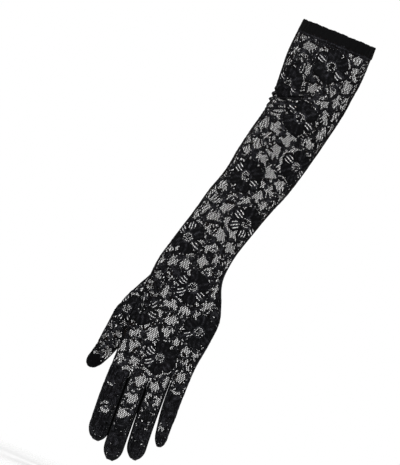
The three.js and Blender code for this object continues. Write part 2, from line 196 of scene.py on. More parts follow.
# Seeds of the random draws, and the corners of the flats that are drawn on
PANEL_SEED, THUMB_SEED = 29, 11
PANEL_FLAT = np.array([[-112.0, -446.0], [66.0, -8.0]])
THUMB_FLAT = np.array([[-24.0, -126.0], [24.0, 0.0]])
# Cell of the height maps, and how much higher lace must be to hide what is under it
MAP_CELL = 0.4
HIDING_HEIGHT = 0.05
# Faces smaller than this are left out
LEAST_AREA = 2e-3

# The net: how its threads cross, lap at their ends, wander and lie one over the other, how
# far they lean out of its plane, and how much wider they are at the hand, where the lace is
# less stretched
NET_ANGLE = math.radians(58)
THREAD_LAP = 0.3
NET_WANDER = 0.05
NET_LEVELS = (0.02, 0.1)
THREAD_LEAN = math.radians(36)
HAND_CLOSENESS = 0.24
WIDER_FROM, WIDER_REACH = 120, 190

# Slits of an open petal of the back: middle across it, half width, first and last row. On
# the palm an open petal is a ring, so that the slits of the back stay clear in front of it
SLITS = [(-0.46, 0.065, 2, 5), (0.02, 0.075, 1, 6), (0.5, 0.06, 2, 6)]
RING_GAP = [(0.0, 0.6, 1, 7)]
PETAL_ROWS = np.array([0, 0.14, 0.28, 0.42, 0.56, 0.7, 0.82, 0.91, 0.97, 1])
# A petal: cells across a solid one, where the borders of an open one end, and its ribs' edges
PETAL_CELLS = 12
PETAL_BORDERS = (0.78, 0.8)
PETAL_RIB = (0.19, 0.31)
# A petal's scalloped edge and its ripple across, as height and pace, and how high it domes
PETAL_SCALLOPS = (0.05, 17)
PETAL_RIPPLE = (0.22, 9.4)
PETAL_DOME = 0.34
# The middle of a flower: its rings and spokes, and the share of pinholes in three rings
EYE_RINGS = np.array([0.04, 0.3, 0.42, 0.6, 0.72, 0.92, 1.02, 1.14])
EYE_SPOKES = 26
PINHOLES = ((1, 0.45), (3, 0.25), (5, 0.5))
# Open and solid petals: half width and tip as shares of the flower's radius, and lift
OPEN_PETAL, SOLID_PETAL = (0.38, 1.04, 0.5), (0.43, 0.98, 0.72)
# Shares of a flower's radius: its petals' root, its middle, and the ring of cells round it
PETAL_ROOT, EYE_SHARE, CELL_RING = 0.29, 0.33, 0.74
PETAL_BOW = 0.26
EYE_LIFT = 1.0
# Petals of a flower in order: o is solid and i open. The thumb's flower is smaller
THUMB_FLOWER, THUMB_FLOWER_SHARE, THUMB_FLOWER_SPOT = "iiioio", 0.9, (-4.0, -52.0)
# Distance of the sprigs' cells from a flower, and the thumb's cells, in cell sizes
FLOWER_CLEARANCE, THUMB_CELLS = 0.42, 0.9
# Cells round a flower, and places tried at a time when cells are scattered
CELLS_ROUND = 10
TRIES_AT_ONCE = 60

# Lengths of the cell walls that get a stem, and how far their far and their near end keep from
# a flower's middle, in its radii
STEM_LENGTHS = (1.2, 26)
INSIDE_FLOWER, FLOWER_CORE = 0.97, 0.55
# Distance of points along a stem, and how wide it is as a share of the usual. The sizes of
# stems and leaves that are two values are drawn by lot: the least and how much more
STEM_STEP = 1.6
STEM_WIDTHS = (0.42, 0.4)
# Where leaves stand along a stem that is longer than so much
LEAF_SPOTS = ((8.5, [0.3, 0.6, 0.9]), (6.2, [0.3, 0.78]), (0, [0.45]))
# Least lengths of a stem that is one long leaf or carries leaves; the shares of long leaves,
# of leaves at the spots, and of stems with a leaf at each end
LONE_LEAF_LENGTH, LEAFY_LENGTH = 4.6, 3.2
LONE_LEAF_SHARE, LEAF_SHARE, END_LEAF_SHARE = 0.34, 0.86, 0.5
# Half width of a leaf and bow of a stem, as shares of their length, and a stem's lift
LEAF_SLIMNESS, STEM_BOW, STEM_LIFT = 0.21, 0.28, 0.22
# A leaf that takes a whole stem: start and length as shares of the stem, half width, lift, rows
LONE_LEAF_START = 0.1
LONE_LEAF_REACH = 0.85
LONE_LEAF_HALF = (1.3, 0.6)
LONE_LEAF_LIFT = 0.3
LONE_LEAF_ROWS = 8
# Leaves in pairs along a stem: length as a share of the usual, how much it tends to short
# ones, turn from the stem, lift
LEAF_SIZES = (0.5, 0.75)
LEAF_SMALLNESS = 1.4
LEAF_SPREAD = (0.75, 0.35)
LEAF_LIFT = 0.34
# The leaf at the root of a short stem: turn from the stem, length, half width, lift
BUD_LEAF = (1.3, 3.4, 1.1, 0.3)
# Leaves at the ends of a stem: greatest lean, length, half width, lift
END_LEAF_LEAN = 0.9
END_LEAF_LENGTH = (4.0, 3)
END_LEAF_HALF = (1.0, 0.5)
END_LEAF_LIFT = 0.32
# Share of the leaves that the palm side has
PALM_FULLNESS = 0.35
# Long open leaves: width of their border, and lift
OPEN_LEAF_BORDER, OPEN_LEAF_LIFT = 1.1, 0.4

# Flowers of both panels: x and z of the middle, turn in degrees, petals
FLOWERS = [
    (4.4, -31.5, 35, "ooiooi"),
    (-26.7, -60.1, 35, "ooiooi"),
    (-4.3, -85.7, 35, "ooiooi"),
    (9.4, -128.9, 35, "ooiooi"),
    (-30.1, -153.9, 30, "ooiooi"),
    (-13.6, -194.0, 28, "ooiiii"),
    (-58.1, -226.0, 35, "oiiooi"),
    (-37.0, -267.5, 36, "ooiioi"),
    (-71.9, -302.2, 48, "iiiooi"),
    (-15.9, -303.1, 35, "oooioo"),
    (-40.1, -338.8, 35, "ooiioo"),
]
# Long open leaves: x, z, turn in degrees, length, half width
OPEN_LEAVES = [
    (-26.6, -35.2, 105, 12, 3.2),
    (-19.7, -31.6, 100, 11, 3.2),
    (-66.2, -270.4, 82, 17, 3.0),
    (-60.6, -271.3, 80, 15, 2.8),
    (-33.1, -302.9, 84, 15, 3.0),
    (-27.1, -299.5, 82, 15, 3.0),
    (-12.5, -60.5, 30, 12, 3.0),
    (-47.0, -184.0, 60, 14, 3.0),
    (-33.0, -232.0, 75, 14, 3.0),
]
# Creases of the elbow: distance down at the thumb side, reach round the arm, half width
CREASES = [
    (66.5, 1.3, 0.55), (72.0, 1.9, 0.7), (77.8, 2.3, 0.75), (83.4, 1.8, 0.6),
    (88.4, 1.5, 0.7), (92.2, 1.2, 0.55), (96.4, 0.9, 0.5), (60.9, 0.9, 0.45),
]
CREASE_STEPS = 26
# Where each finger turns to close lace, as a distance down
CLOSE_FROM = {"index": 362.0, "middle": 402.0, "ring": 389.0, "little": 366.0}
# Net windows left in the close lace: x and z of the middle, half sizes across and down
WINDOWS = [
    (-69.9, -399.7, 5.0, 5.6), (-72.4, -377.5, 4.6, 1.5), (-78.6, -411.5, 1.3, 4.0),
    (-54.6, -404.5, 1.5, 2.6), (-46.5, -417.0, 1.2, 3.2), (-27.4, -401.0, 1.7, 4.6),
    (-25.6, -417.5, 1.4, 3.4), (-7.6, -397.5, 1.8, 3.2), (-4.8, -372.0, 1.1, 3.4),
]
# Close lace: distance between its rows, its columns, and the share of its small slits
CLOSE_ROW, CLOSE_COLUMNS, CLOSE_SLITS = 1.15, 24, 0.07
# Lift of the close lace, and the height and pace of its ripple
CLOSE_LIFT = (0.3, 0.08, 40)
# Motifs over the close lace: places across a finger, distance down it, share of petals
TIP_SPOTS, TIP_STEP, TIP_PETALS = (0.12, 0.5, 0.88), 6.2, 0.4
# How far they are scattered across and down, their lift, the petal's root, tip and half width,
# and each leaf's turn, length and half width
TIP_SCATTER = (0.8, 1.2)
TIP_LIFT = 0.5
TIP_PETAL = (-4.5, 5.0, 3.6)
TIP_LEAVES = ((0, 7.5, 1.9), (2.2, 6.0, 1.6))
# Bands of close lace down the side seams: row distance, columns and share of slits
BAND_ROW, BAND_COLUMNS, BAND_SLITS = 1.4, 8, 0.09
# Where the outer band swells on the hand: start, length and added width
SWELL_FROM, SWELL_LENGTH, SWELL_WIDTH = 222, 112, 8.0
FRINGE_STEP = 1.3
# Width of the outer and the inner band, the waves of their ragged edge as height, pace and
# start, and their lift with its ripple
BAND_WIDTHS = (3.6, 3.3)
BAND_RAGS = ((1.5, 0.31, 0), (1.3, 0.83, 1))
BAND_LIFT = (0.35, 0.1, 25)
# The thumb's close lace: length from the tip, distance between rows, columns
THUMB_CLOSE, THUMB_CLOSE_ROW, THUMB_CLOSE_COLUMNS = 13, 1.5, 32

PANEL_PARTS = ["upper_sleeve", "lower_sleeve", "hand", "index", "middle", "ring", "little"]

# The hem's cross-section as inset and distance down: over its top edge, down its outside,
# and up its inside
HEM_PROFILE = (
    [(HEM_WALL, 0.5), (HEM_WALL * 0.6, 0.06), (HEM_EDGE * 0.6, 0.0), (0.1, 0.5)]
    + [(0, down) for down in np.linspace(1.4, HEM_WIDTH - 1.4, 8)]
    + [(0.1, HEM_WIDTH - 0.5), (HEM_EDGE, HEM_WIDTH + 0.3), (HEM_WALL, HEM_WIDTH)]
    + [(HEM_WALL, down) for down in (HEM_WIDTH * 0.66, HEM_WIDTH * 0.33)]
)
HEM_STEPS = 240
# Waves of the hem's edge: height, waves round the arm, start; and how much they show at the top
HEM_WAVES = ((0.3, 23, 0), (0.2, 57, 1), (0.25, 9, 0))
TOP_WAVE_SHARE = 0.6
# How far the hem stands proud, and the height and half width of the jog at its seam
HEM_PROUD = 0.25
HEM_JOG = (0.9, 0.09)

# Finger strips: columns, rows down a side and round a tip, rows in the crotch with their
# places from side to side
STRIP_COLUMNS, STRIP_ROWS, STRIP_TIP_ROWS = 13, 26, 8
STRIP_SWAY = 0.75

# Seams: distance of points along them, how flat the cord is, columns between the points of
# the thumb's ring, rounds of its smoothing
SEAM_STEP = 1.2
CORD_FLATNESS = 0.8
RING_COLUMNS = 2
SMOOTHING_ROUNDS = 3
# Stitches over a seam: length and thickness in seam radii
STITCH_LENGTH, STITCH_RADIUS = 3.0, 0.32
# How much lighter than the knit the seam's cord is
CORD_LIGHTNESS = 3.5

# Distance at which a wave texture of scale 1 repeats
WAVE_LENGTH = 0.314
# Scales of the finishes' noise: fibres, patches where glints are painted, shades of the dye, wear
# and grit
FUZZ_SCALE, GLINT_PATCH_SCALE, DYE_SCALE, NET_DYE_SCALE = 900.0, 260.0, 34.0, 60.0
KNIT_FUZZ_SCALE, WEAR_SCALE, GRIT_SCALE = 700.0, 25.0, 160.0

# The photograph's view: which ways are right and up, the height it takes in, and what it
# aims at
VIEW_RIGHT, VIEW_UP = Vector((0.9259, 0, 0.3779)), Vector((-0.3779, 0, 0.9259))
VIEW_HEIGHT = 0.4278
AIM = Vector((-0.0496, 0, -0.2180))
SENSOR = 36
# Lights: name, place from the aim, share of the key light's power, size
LIGHTS = (
    ("key_light", (-0.75, -1.0, 1.2), 1.2, 0.9),
    ("fill_light", (1.0, -0.95, 0.7), 0.6, 1.2),
    ("rim_light", (0.3, 1.1, 1.1), 0.8, 1.0),
)
# The round floor: radius, rings and spokes, and its drop below the glove
FLOOR_RADIUS, FLOOR_RINGS, FLOOR_SPOKES, FLOOR_DROP = 0.6, 24, 96, 0.03
# Where the floor fades away, as shares of its radius
FADE_FROM, FADE_TO = 0.2, 0.96


def unit(ways):
    """Ways of length one."""
    return ways / np.maximum(np.linalg.norm(ways, axis=-1, keepdims=True), 1e-9)


def run_along(path):
    """Distance of each point of a path from its start."""
    return np.append(0, np.cumsum(np.linalg.norm(np.diff(path, axis=0), axis=1)))


def grid_faces(rows, columns, closed_rows=False, closed_columns=False):
    """Four-cornered faces between the points of a grid, which may close up on itself."""
    number = np.arange(rows * columns).reshape(rows, columns)
    if closed_rows:
        number = np.concatenate([number, number[:1]])
    if closed_columns:
        number = np.concatenate([number, number[:, :1]], axis=1)
    return np.stack([number[:-1, :-1], number[1:, :-1], number[1:, 1:], number[:-1, 1:]], -1)


def ease(t):
    c = np.clip(t, 0, 1)
    return c * c * (3 - 2 * c)


def mix(a, b, t):
    return a + (b - a) * t


def value_at(places, values, at):
    """Smooth value through the rows of a table."""
    last = len(places) - 1
    order = np.arange(last + 1)
    before, after = np.maximum(order - 1, 0), np.minimum(order + 1, last)
    slope = (values[after] - values[before]) / (places[after] - places[before])
    i = np.clip(np.searchsorted(places, at, side="right") - 1, 0, last - 1)
    span = places[i + 1] - places[i]
    t = np.minimum((at - places[i]) / span, 1)
    bulge = mix(values[i], values[i + 1], t * t * (3 - 2 * t))
    start = t * (1 - t) * (1 - t) * span * slope[i]
    end = t * t * (t - 1) * span * slope[i + 1]
    return bulge + start + end


def all_sections():
    """Sleeve and hand sections in millimetres: down, x, y, half width, back, palm, square."""
    down, lean, width, back, palm, bow, square = ARM_SECTIONS.T
    arm = [
        down * ARM_LENGTH, -lean * ARM_LEAN, bow * ARM_BOW, width * CUFF_WIDTH / 2,
        back * CUFF_DEPTH, palm * CUFF_DEPTH, square,
    ]
    down, side, width, back, palm, square = HAND_SECTIONS.T
    hand = [
        ARM_LENGTH + down * PALM_LENGTH, -ARM_LEAN + side * HAND_BREADTH, down * 0,
        width * HAND_BREADTH / 2, back * HAND_DEPTH, palm * HAND_DEPTH, square,
    ]
    return np.concatenate([np.array(arm), np.array(hand)], axis=1)


SECTIONS = all_sections()


def section_at(down):
    return [value_at(SECTIONS[0], column, down) for column in SECTIONS[1:]]


CROTCH_X, CROTCH_Y, CROTCH_HALF = [
    float(v) for v in section_at(np.array(ARM_LENGTH + PALM_LENGTH))[:3]
]
SLOTS = np.cumsum([0] + [row[0] for row in FINGER_TABLE.values()])
ROOT_DOWNS = ARM_LENGTH + PALM_LENGTH * np.array(
    [INDEX_EDGE] + [row[4] for row in FINGER_TABLE.values()])
EDGE_PLACES = CROTCH_X + CROTCH_HALF * (2 * SLOTS / SLOTS[-1] - 1)


class Finger:
    """The measures of one finger, in millimetres, worked out from its row of the table."""

    def __init__(self, order, row):
        _, reach, lean, curl, _, taper = row
        self.order = order
        self.left, self.right = EDGE_PLACES[order], EDGE_PLACES[order + 1]
        self.x = (self.left + self.right) / 2
        self.half = (self.right - self.left - FINGER_GAP) / 2
        self.depth = self.half * FINGER_FLATNESS
        self.round = self.half * 2 * TIP_ROUNDING
        self.tip_down = ARM_LENGTH + PALM_LENGTH + reach * MIDDLE_LENGTH
        self.swing = max(lean, PRESS_LEAN) * MIDDLE_LENGTH
        self.curl = curl * FINGER_CURL
        self.taper = taper
        self.left_open = 1 if order > 0 else 0
        self.right_open = 1 if order < LITTLE else 0

    def root(self, across):
        return mix(ROOT_DOWNS[self.order], ROOT_DOWNS[self.order + 1], across)

    def ring(self, across, down):
        """Middle and half sizes of the ring at one place down the finger."""
        root = self.root(across)
        rise = np.clip((down - (self.tip_down - self.round)) / self.round, 0, 1)
        level = np.sqrt(1 - rise * rise)
        share = (down - root) / (self.tip_down - root)
        narrowing = mix(1, self.taper, ease(share))
        slimming = TIP_SLIMMING if self.order == LITTLE else 0
        slim = 1 - slimming * ease((share - SLIM_FROM) / (1 - SLIM_FROM))
        press = PRESS * ease(share * PRESS_RISE) * (self.order < LITTLE)
        return {
            "x": self.x + self.swing * share * share,
            "y": CROTCH_Y + self.curl * share * share,
            "half": (self.half * narrowing + press) * slim * np.maximum(level, TIP_SEAM),
            "depth": self.depth * narrowing * slim * level,
            "open": np.interp(np.degrees(np.arcsin(rise)), *STRIP_OPENING),
            "run": (down - root) / (self.tip_down - self.round - root),
        }

    def points(self, side, across, down):
        """Places on the finger's back or palm; across runs over it from its thumb side."""
        ring = self.ring(across, down)
        first = STRIP_ANGLE * ring["open"] * self.left_open
        last = math.pi - STRIP_ANGLE * ring["open"] * self.right_open
        angle = mix(first, last, across)
        x = ring["x"] - ring["half"] * np.cos(angle)
        sine = ring["depth"] * np.sin(angle)
        pull = np.clip(1 - ring["run"] / ROOT_BLEND_DOWN, 0, 1)
        arc_x = self.half * math.cos(STRIP_ANGLE)
        from_left = 1 - across / ROOT_BLEND_ACROSS
        from_right = (across - (1 - ROOT_BLEND_ACROSS)) / ROOT_BLEND_ACROSS
        for is_open, near, edge, arc, neighbour in (
            (self.left_open, from_left, self.left, self.x - arc_x, self.order - 1),
            (self.right_open, from_right, self.right, self.x + arc_x, self.order),
        ):
            if is_open:
                weight = np.clip(near, 0, 1) * pull
                x = x + weight * (edge - arc)
                depth_change = half_depth(neighbour) - self.depth
                sine = sine + weight * depth_change * math.sin(STRIP_ANGLE)
        y = ring["y"] + side * (SEAM_GAP / 2 + sine)
        return np.stack(np.broadcast_arrays(x, y, -down), -1)


def half_depth(order):
    return (EDGE_PLACES[order + 1] - EDGE_PLACES[order] - FINGER_GAP) / 2 * FINGER_FLATNESS


FINGERS = [Finger(i, row) for i, row in enumerate(FINGER_TABLE.values())]


def fold_at(row_down, angle):
    """Height of the gathers: main waves, and finer creases below them on the thumb side."""
    past = row_down - ELBOW_DOWN
    fade = np.maximum(1 - 4 * (past / FOLD_REACH) ** 2, 0)
    waves = FOLD_HEIGHT * fade * np.cos(angle / 2) ** 2 * np.cos(2 * np.pi * past / FOLD_PITCH)
    below = row_down - CREASE_DOWN
    fine = np.maximum(1 - (below / CREASE_REACH) ** 2, 0) * np.cos(angle / 2) ** 2
    creases = CREASE_HEIGHT * fine * np.cos(2 * np.pi * below / CREASE_PITCH + 1.5 * angle)
    return -waves - creases


def climb_at(row_down, angle):
    away = np.abs(row_down - ELBOW_DOWN) / (ELBOW_DOWN - HEM_WIDTH - SEAM_GAP)
    return FOLD_SLANT * (1 - ease(away)) * np.sin(angle / 2) ** 2


def ring_points(side, angle, down, swell):
    x, y, half, back, palm, square = section_at(down)
    depth = back if side < 0 else palm
    cosine, sine = np.cos(angle), np.sin(angle)
    x = x - (half + swell) * np.sign(cosine) * np.abs(cosine) ** (2 / square)
    y = y + side * (SEAM_GAP / 2 + (depth + swell) * np.abs(sine) ** (2 / square))
    return np.stack([x, y, -down], -1)


def column_angle(column, hand_share):
    """Angle round the ring: even round the arm, by finger slots on the hand."""
    share = np.interp(column / FACETS, np.arange(5), SLOTS / SLOTS[-1])
    return mix(np.pi * column / COLUMNS, np.arccos(np.clip(1 - 2 * share, -1, 1)), hand_share)


def arm_points(side, column, down):
    row_down = down.copy()
    for _ in range(CLIMB_ROUNDS):
        angle = column_angle(column, ease(row_down / ARM_LENGTH - 0.5))
        row_down = down + climb_at(row_down, angle)
    return ring_points(side, angle, down, fold_at(row_down, angle))


def hand_points(side, column, down):
    order = np.clip((column / FACETS).astype(int), 0, 3)
    across = column / FACETS - order
    result = np.zeros(down.shape + (3,))
    for finger in FINGERS:
        own = order == finger.order
        root = finger.root(across[own])
        share = np.clip((down[own] - ARM_LENGTH) / (root - ARM_LENGTH), 0, 1)
        angle = column_angle(column[own], mix(0.5, 1, ease(share * 2)))
        on_hand = ring_points(side, angle, down[own], 0)
        on_finger = finger.points(side, across[own], root)
        on_finger[:, 2] = on_hand[:, 2]
        blend = ease((share - KNUCKLE_START) / (1 - KNUCKLE_START))
        result[own] = mix(on_hand, on_finger, blend[:, None])
        past = down[own] > root
        below = finger.points(side, across[own], np.maximum(down[own], root))
        result[own] = np.where(past[:, None], below, result[own])
    return result


def panel_points(side, column, down):
    column, down = np.broadcast_arrays(np.asarray(column, float), np.asarray(down, float))
    result = hand_points(side, column, np.maximum(down, ARM_LENGTH))
    on_arm = down < ARM_LENGTH
    result[on_arm] = arm_points(side, column[on_arm], down[on_arm])
    return result


class Chart:
    """A stretch of surface laid flat, u across it and v up it, with its places and normals."""

    def __init__(self, downs, across, points, flip, width):
        self.downs = downs
        self.low, self.high = across[:, 0], across[:, -1]
        even = np.linspace(0, 1, width)
        self.points = np.empty((len(downs), width, 3))
        for r in range(len(downs)):
            places = mix(self.low[r], self.high[r], even)
            for axis in range(3):
                self.points[r, :, axis] = np.interp(places, across[r], points[r, :, axis])
        sideways = np.gradient(self.points, axis=1)
        upward = -np.gradient(self.points, axis=0)
        self.normals = unit(np.cross(sideways, upward) * (-1 if flip else 1))

    def limits(self, v):
        return np.interp(-v, self.downs, self.low), np.interp(-v, self.downs, self.high)

    def row_at(self, v):
        return np.interp(-v, self.downs, np.arange(len(self.downs)))

    def place(self, u, v, lift):
        """Surface places for flat places, and which of them lie off this stretch."""
        rows, columns = self.points.shape[:2]
        low, high = self.limits(v)
        row = self.row_at(v)
        r = np.clip(row.astype(int), 0, rows - 2)
        column = np.clip((u - low) / np.maximum(high - low, 1e-6), 0, 1) * (columns - 1)
        c = np.clip(column.astype(int), 0, columns - 2)
        fr, fc = (row - r)[:, None], (column - c)[:, None]

        def between(table):
            top = mix(table[r, c], table[r, c + 1], fc)
            return mix(top, mix(table[r + 1, c], table[r + 1, c + 1], fc), fr)

        outside = (u < low - EDGE_SLACK) | (u > high + EDGE_SLACK)
        outside |= (-v > self.downs[-1]) | (-v < self.downs[0])
        return between(self.points) + between(self.normals) * lift[:, None], outside

    def across_at(self, x, v):
        """The place across the flat whose point has this x."""
        low, high = self.limits(np.array(v))
        r = int(np.clip(round(self.row_at(v)), 0, len(self.downs) - 1))
        shares = np.linspace(0, 1, self.points.shape[1])
        return float(mix(low, high, np.interp(x, self.points[r, :, 0], shares)))


def arc_lengths(points, middle):
    """Lengths along each row from its middle column, with the middle's own x as their start."""
    steps = np.linalg.norm(np.diff(points, axis=1), axis=2)
    along = np.concatenate([np.zeros((len(points), 1)), np.cumsum(steps, axis=1)], axis=1)
    return along - along[:, [middle]] + points[:, [middle], 0]


def finger_strip(side, finger, own, rows):
    """Places on one finger's stretch of the panel, above and below its root."""
    start = finger.order * FACETS
    column = np.minimum(start + own * FACETS, start + FACETS - 1e-6)[None, :]
    root, down = finger.root(own)[None, :], rows[:, None]
    upper = panel_points(side, column, np.minimum(down, root))
    lower = finger.points(side, own[None, :], np.maximum(down, root))
    return np.where((down > root)[:, :, None], lower, upper)


class Panel:
    """One lace panel, back (-1) or palm (1): a chart of sleeve and hand, and one a finger."""

    def __init__(self, side):
        self.side = side
        downs = np.append(np.arange(HEM_WIDTH - HEM_TUCK, SPLIT_DOWN, ROW_STEP), SPLIT_DOWN)
        columns = np.linspace(0, COLUMNS, PANEL_STEPS + 1)[None, :]
        points = panel_points(side, columns, downs[:, None])
        across = arc_lengths(panel_points(-1, columns, downs[:, None]), PANEL_STEPS // 2)
        self.main = Chart(downs, across, points, side > 0, PANEL_WIDTH)
        self.edges = across[-1, ::PANEL_STEPS // len(FINGERS)]
        self.fingers = []
        for finger in FINGERS:
            own = np.linspace(0, 1, FINGER_STEPS + 1)
            rows = np.append(np.arange(SPLIT_DOWN, finger.tip_down, ROW_STEP),
                             finger.tip_down - 0.02)
            strip = finger_strip(side, finger, own, rows)
            middle = FINGER_STEPS // 2
            across = arc_lengths(finger_strip(-1, finger, own, rows), middle)
            start = (self.edges[finger.order] + self.edges[finger.order + 1]) / 2
            across = across - across[0, middle] + start
            self.fingers.append(Chart(rows, across, strip, side > 0, FINGER_STEPS))

    def place(self, u, v, lift):
        """Surface places for flat places, which of them are off the panel, the finger that
        each is on or above, and which are on the fingers' charts."""
        points, outside = self.main.place(u, v, lift)
        zone = np.clip(np.searchsorted(self.edges, u) - 1, 0, LITTLE)
        below = v < -SPLIT_DOWN
        if below.any():
            ub, vb = u[below], v[below]
            gaps = []
            for chart in self.fingers:
                low, high = chart.limits(vb)
                gaps.append(np.maximum(np.maximum(low - ub, ub - high), 0))
            nearest = np.argmin(np.array(gaps), axis=0)
            zone[below] = nearest
            for i, chart in enumerate(self.fingers):
                own = np.flatnonzero(below)[nearest == i]
                points[own], outside[own] = chart.place(u[own], v[own], lift[own])
        return points, outside, zone, below


def within_hand(points):
    """Whether points lie in the sleeve or hand, whose sections are rounded boxes."""
    x, y, half, back, palm, square = section_at(-points[:, 2])
    depth = np.where(points[:, 1] < y, back, palm)
    sideways = np.abs((points[:, 0] - x) / half) ** square
    return sideways + np.abs((points[:, 1] - y) / depth) ** square < 1


class Thumb:
    """The thumb as a tube round a smooth line, in a back (-1) and a palm (1) half."""

    def __init__(self, side):
        self.side = side
        root_x = float(section_at(np.array(ARM_LENGTH))[0]) - THUMB_ROOT_SIDE * HAND_BREADTH
        root_down = ARM_LENGTH + THUMB_ROOT_DOWN * PALM_LENGTH
        down, out, forward, _ = THUMB_PATH.T
        line = centripetal_line(np.stack([
            root_x - out * THUMB_REACH, forward * THUMB_FORWARD, -root_down - down * THUMB_DROP,
        ], axis=1))
        steps = np.linalg.norm(np.diff(line, axis=0), axis=1)
        self.length = steps.sum()
        share = np.append(0, np.cumsum(steps)) / self.length
        tip = THUMB_TIP / self.length
        rounding = 1 - np.sin(np.linspace(0.06, math.pi / 2, THUMB_TIP_ROWS))
        places = np.concatenate([np.linspace(0, 1 - tip, THUMB_ROWS), 1 - tip * rounding])
        self.line = np.stack([np.interp(places, share, line[:, k]) for k in range(3)], axis=1)
        tangents = unit(np.gradient(self.line, places, axis=0))
        depth_way = unit(np.array([0, 1.0, 0]) - tangents * tangents[:, [1]])
        width_way = np.cross(tangents, depth_way)
        width = value_at(THUMB_PATH[:, 0], THUMB_PATH[:, 3], places) * THUMB_WIDTH
        width *= 1 - TIP_SLIMMING * ease((places - THUMB_SLIM_FROM) / THUMB_SLIM_REACH)
        past = np.clip((places - (1 - tip)) * self.length / THUMB_TIP, 0, 1)
        level = np.maximum(np.sqrt(1 - past * past), 0.02)
        self.half = width / 2 * level
        self.depth = width * THUMB_FLATNESS / 2 * level
        angle = side * np.linspace(np.pi, 0, THUMB_STEPS + 1)
        self.tube = (
            self.line[:, None, :]
            + width_way[:, None, :] * (self.half[:, None] * np.cos(angle))[:, :, None]
            + depth_way[:, None, :] * (self.depth[:, None] * np.sin(angle))[:, :, None]
        )
        across = arc_lengths(self.tube, THUMB_STEPS // 2)
        across -= across[:, [THUMB_STEPS // 2]]
        self.chart = Chart(places * self.length, across, self.tube, side > 0, THUMB_STEPS)

    def place(self, u, v, lift):
        points, outside = self.chart.place(u, v, lift)
        return points, outside, np.zeros(len(u), int), np.zeros(len(u), bool)

    def holds(self, points):
        """Whether points lie inside the thumb's tube, beyond the overlap at its wall."""
        result = np.zeros(len(points), bool)
        root = self.line[0]
        near = np.flatnonzero((points[:, 2] < root[2] + THUMB_NEAR)
                              & (points[:, 0] < root[0] + THUMB_NEAR))
        for start in range(0, len(near), BATCH):
            own = near[start:start + BATCH]
            gap = points[own][:, None, :] - self.line[None, :, :]
            distance = np.linalg.norm(gap, axis=2) - (self.half + self.depth)[None, :] / 2
            result[own] = distance.min(axis=1) < -THUMB_OVERLAP
        return result


def centripetal_line(stops):
    """A centripetal Catmull-Rom line through the stops, sampled densely."""
    ends = [2 * stops[0] - stops[1], *stops, 2 * stops[-1] - stops[-2]]
    line = []
    for i in range(len(stops) - 1):
        a, b, c, d = ends[i:i + 4]
        ab, bc, cd = [
            max(np.linalg.norm(q - p), 1e-6) ** 0.5 for p, q in ((a, b), (b, c), (c, d))
        ]
        start = ((b - a) / ab - (c - a) / (ab + bc) + (c - b) / bc) * bc
        end = ((c - b) / bc - (d - b) / (bc + cd) + (d - c) / cd) * bc
        t = np.linspace(0, 1, CURVE_STEPS, endpoint=i == len(stops) - 2)[:, None]
        line.append(
            (2 * t**3 - 3 * t**2 + 1) * b + (t**3 - 2 * t**2 + t) * start
            + (3 * t**2 - 2 * t**3) * c + (t**3 - t**2) * end
        )
    return np.concatenate(line)


class LaceSizes:
    """The lace's sizes in millimetres."""

    def __init__(self, lace):
        for name in ("flower_radius", "cell_size", "stem_width", "leaf_length", "net_pitch",
                     "net_thread"):
            setattr(self, name, getattr(lace, name) * TO_MM)


class Pattern:
    """Lace drawn flat: points with a lift off the cloth, in millimetres, and their faces."""

    def __init__(self):
        self.parts = []
        self.bare = []
        self.count = 0

    def add(self, u, v, lift, grain, relief, faces, kind, level):
        """Adds points, and faces whose numbers count from the first of these points."""
        kinds, levels = np.full(len(faces), kind), np.full(len(faces), level)
        self.parts.append((u, v, lift, grain, relief, faces + self.count, kinds, levels))
        self.count += len(u)

    def joined(self):
        return [np.concatenate(part) for part in zip(*self.parts)]

    def patch(self, u, v, lift, along, across, keep=None, kind=MOTIF, is_bare=False):
        """Adds a grid of faces; where keep is false is a hole, and bare holes get no net."""
        faces = grid_faces(*u.shape)
        if is_bare:
            self.bare.append(faces[~keep] + self.count)
        faces = faces.reshape(-1, 4) if keep is None else faces[keep]
        lift = np.broadcast_to(lift, u.shape)
        grain = np.broadcast_to(np.stack(np.broadcast_arrays(along, across), -1), u.shape + (2,))
        # relief: the height from 0 to 1, which the thread finish paints lighter where high as a
        # painted highlight
        relief = (lift - lift.min()) / max(np.ptp(lift), 0.05)
        self.add(u.ravel(), v.ravel(), lift.ravel(), grain.reshape(-1, 2), relief.ravel(), faces,
                 kind, lift.min())

    def motif(self, centre, turn, along, across, lift, keep=None):
        """A patch drawn along its own axis, turned and moved to its place; its holes are bare."""
        u = centre[0] + along * math.cos(turn) - across * math.sin(turn)
        v = centre[1] + along * math.sin(turn) + across * math.cos(turn)
        self.patch(u, v, lift, along, across, keep, is_bare=keep is not None)

    def close_lace(self, u, v, lift, keep=None):
        """A patch of close lace, whose rows are given from the top down."""
        keep = None if keep is None else keep[::-1]
        self.patch(u[::-1], v[::-1], lift[::-1], v[::-1], u[::-1], keep, DENSE)


def petal_cuts(slits):
    """Places across a petal at each of its rows, from -1 to 1, and which cells are kept."""
    rows = PETAL_ROWS[:, None]
    if not slits:
        places = np.linspace(-1, 1, PETAL_CELLS + 1)[None, :] + 0 * rows
        return places, np.ones((len(rows) - 1, PETAL_CELLS), bool)
    columns = [-1 + 0 * rows, -PETAL_BORDERS[0] + 0 * rows]
    keep = np.ones((len(rows) - 1, 4 * len(slits) + 1), bool)
    taper = np.sqrt(np.clip(1 - ((rows - 0.48) / 0.4) ** 2, 0.04, 1))
    for number, (middle, half, first, last) in enumerate(slits):
        columns += [middle - half * taper, middle + half * taper]
        if number < len(slits) - 1:
            columns += [middle + edge + 0 * rows for edge in PETAL_RIB]
        keep[first:last, 2 + 4 * number] = False
    columns += [PETAL_BORDERS[1] + 0 * rows, 1 + 0 * rows]
    return np.concatenate(columns, axis=1), keep


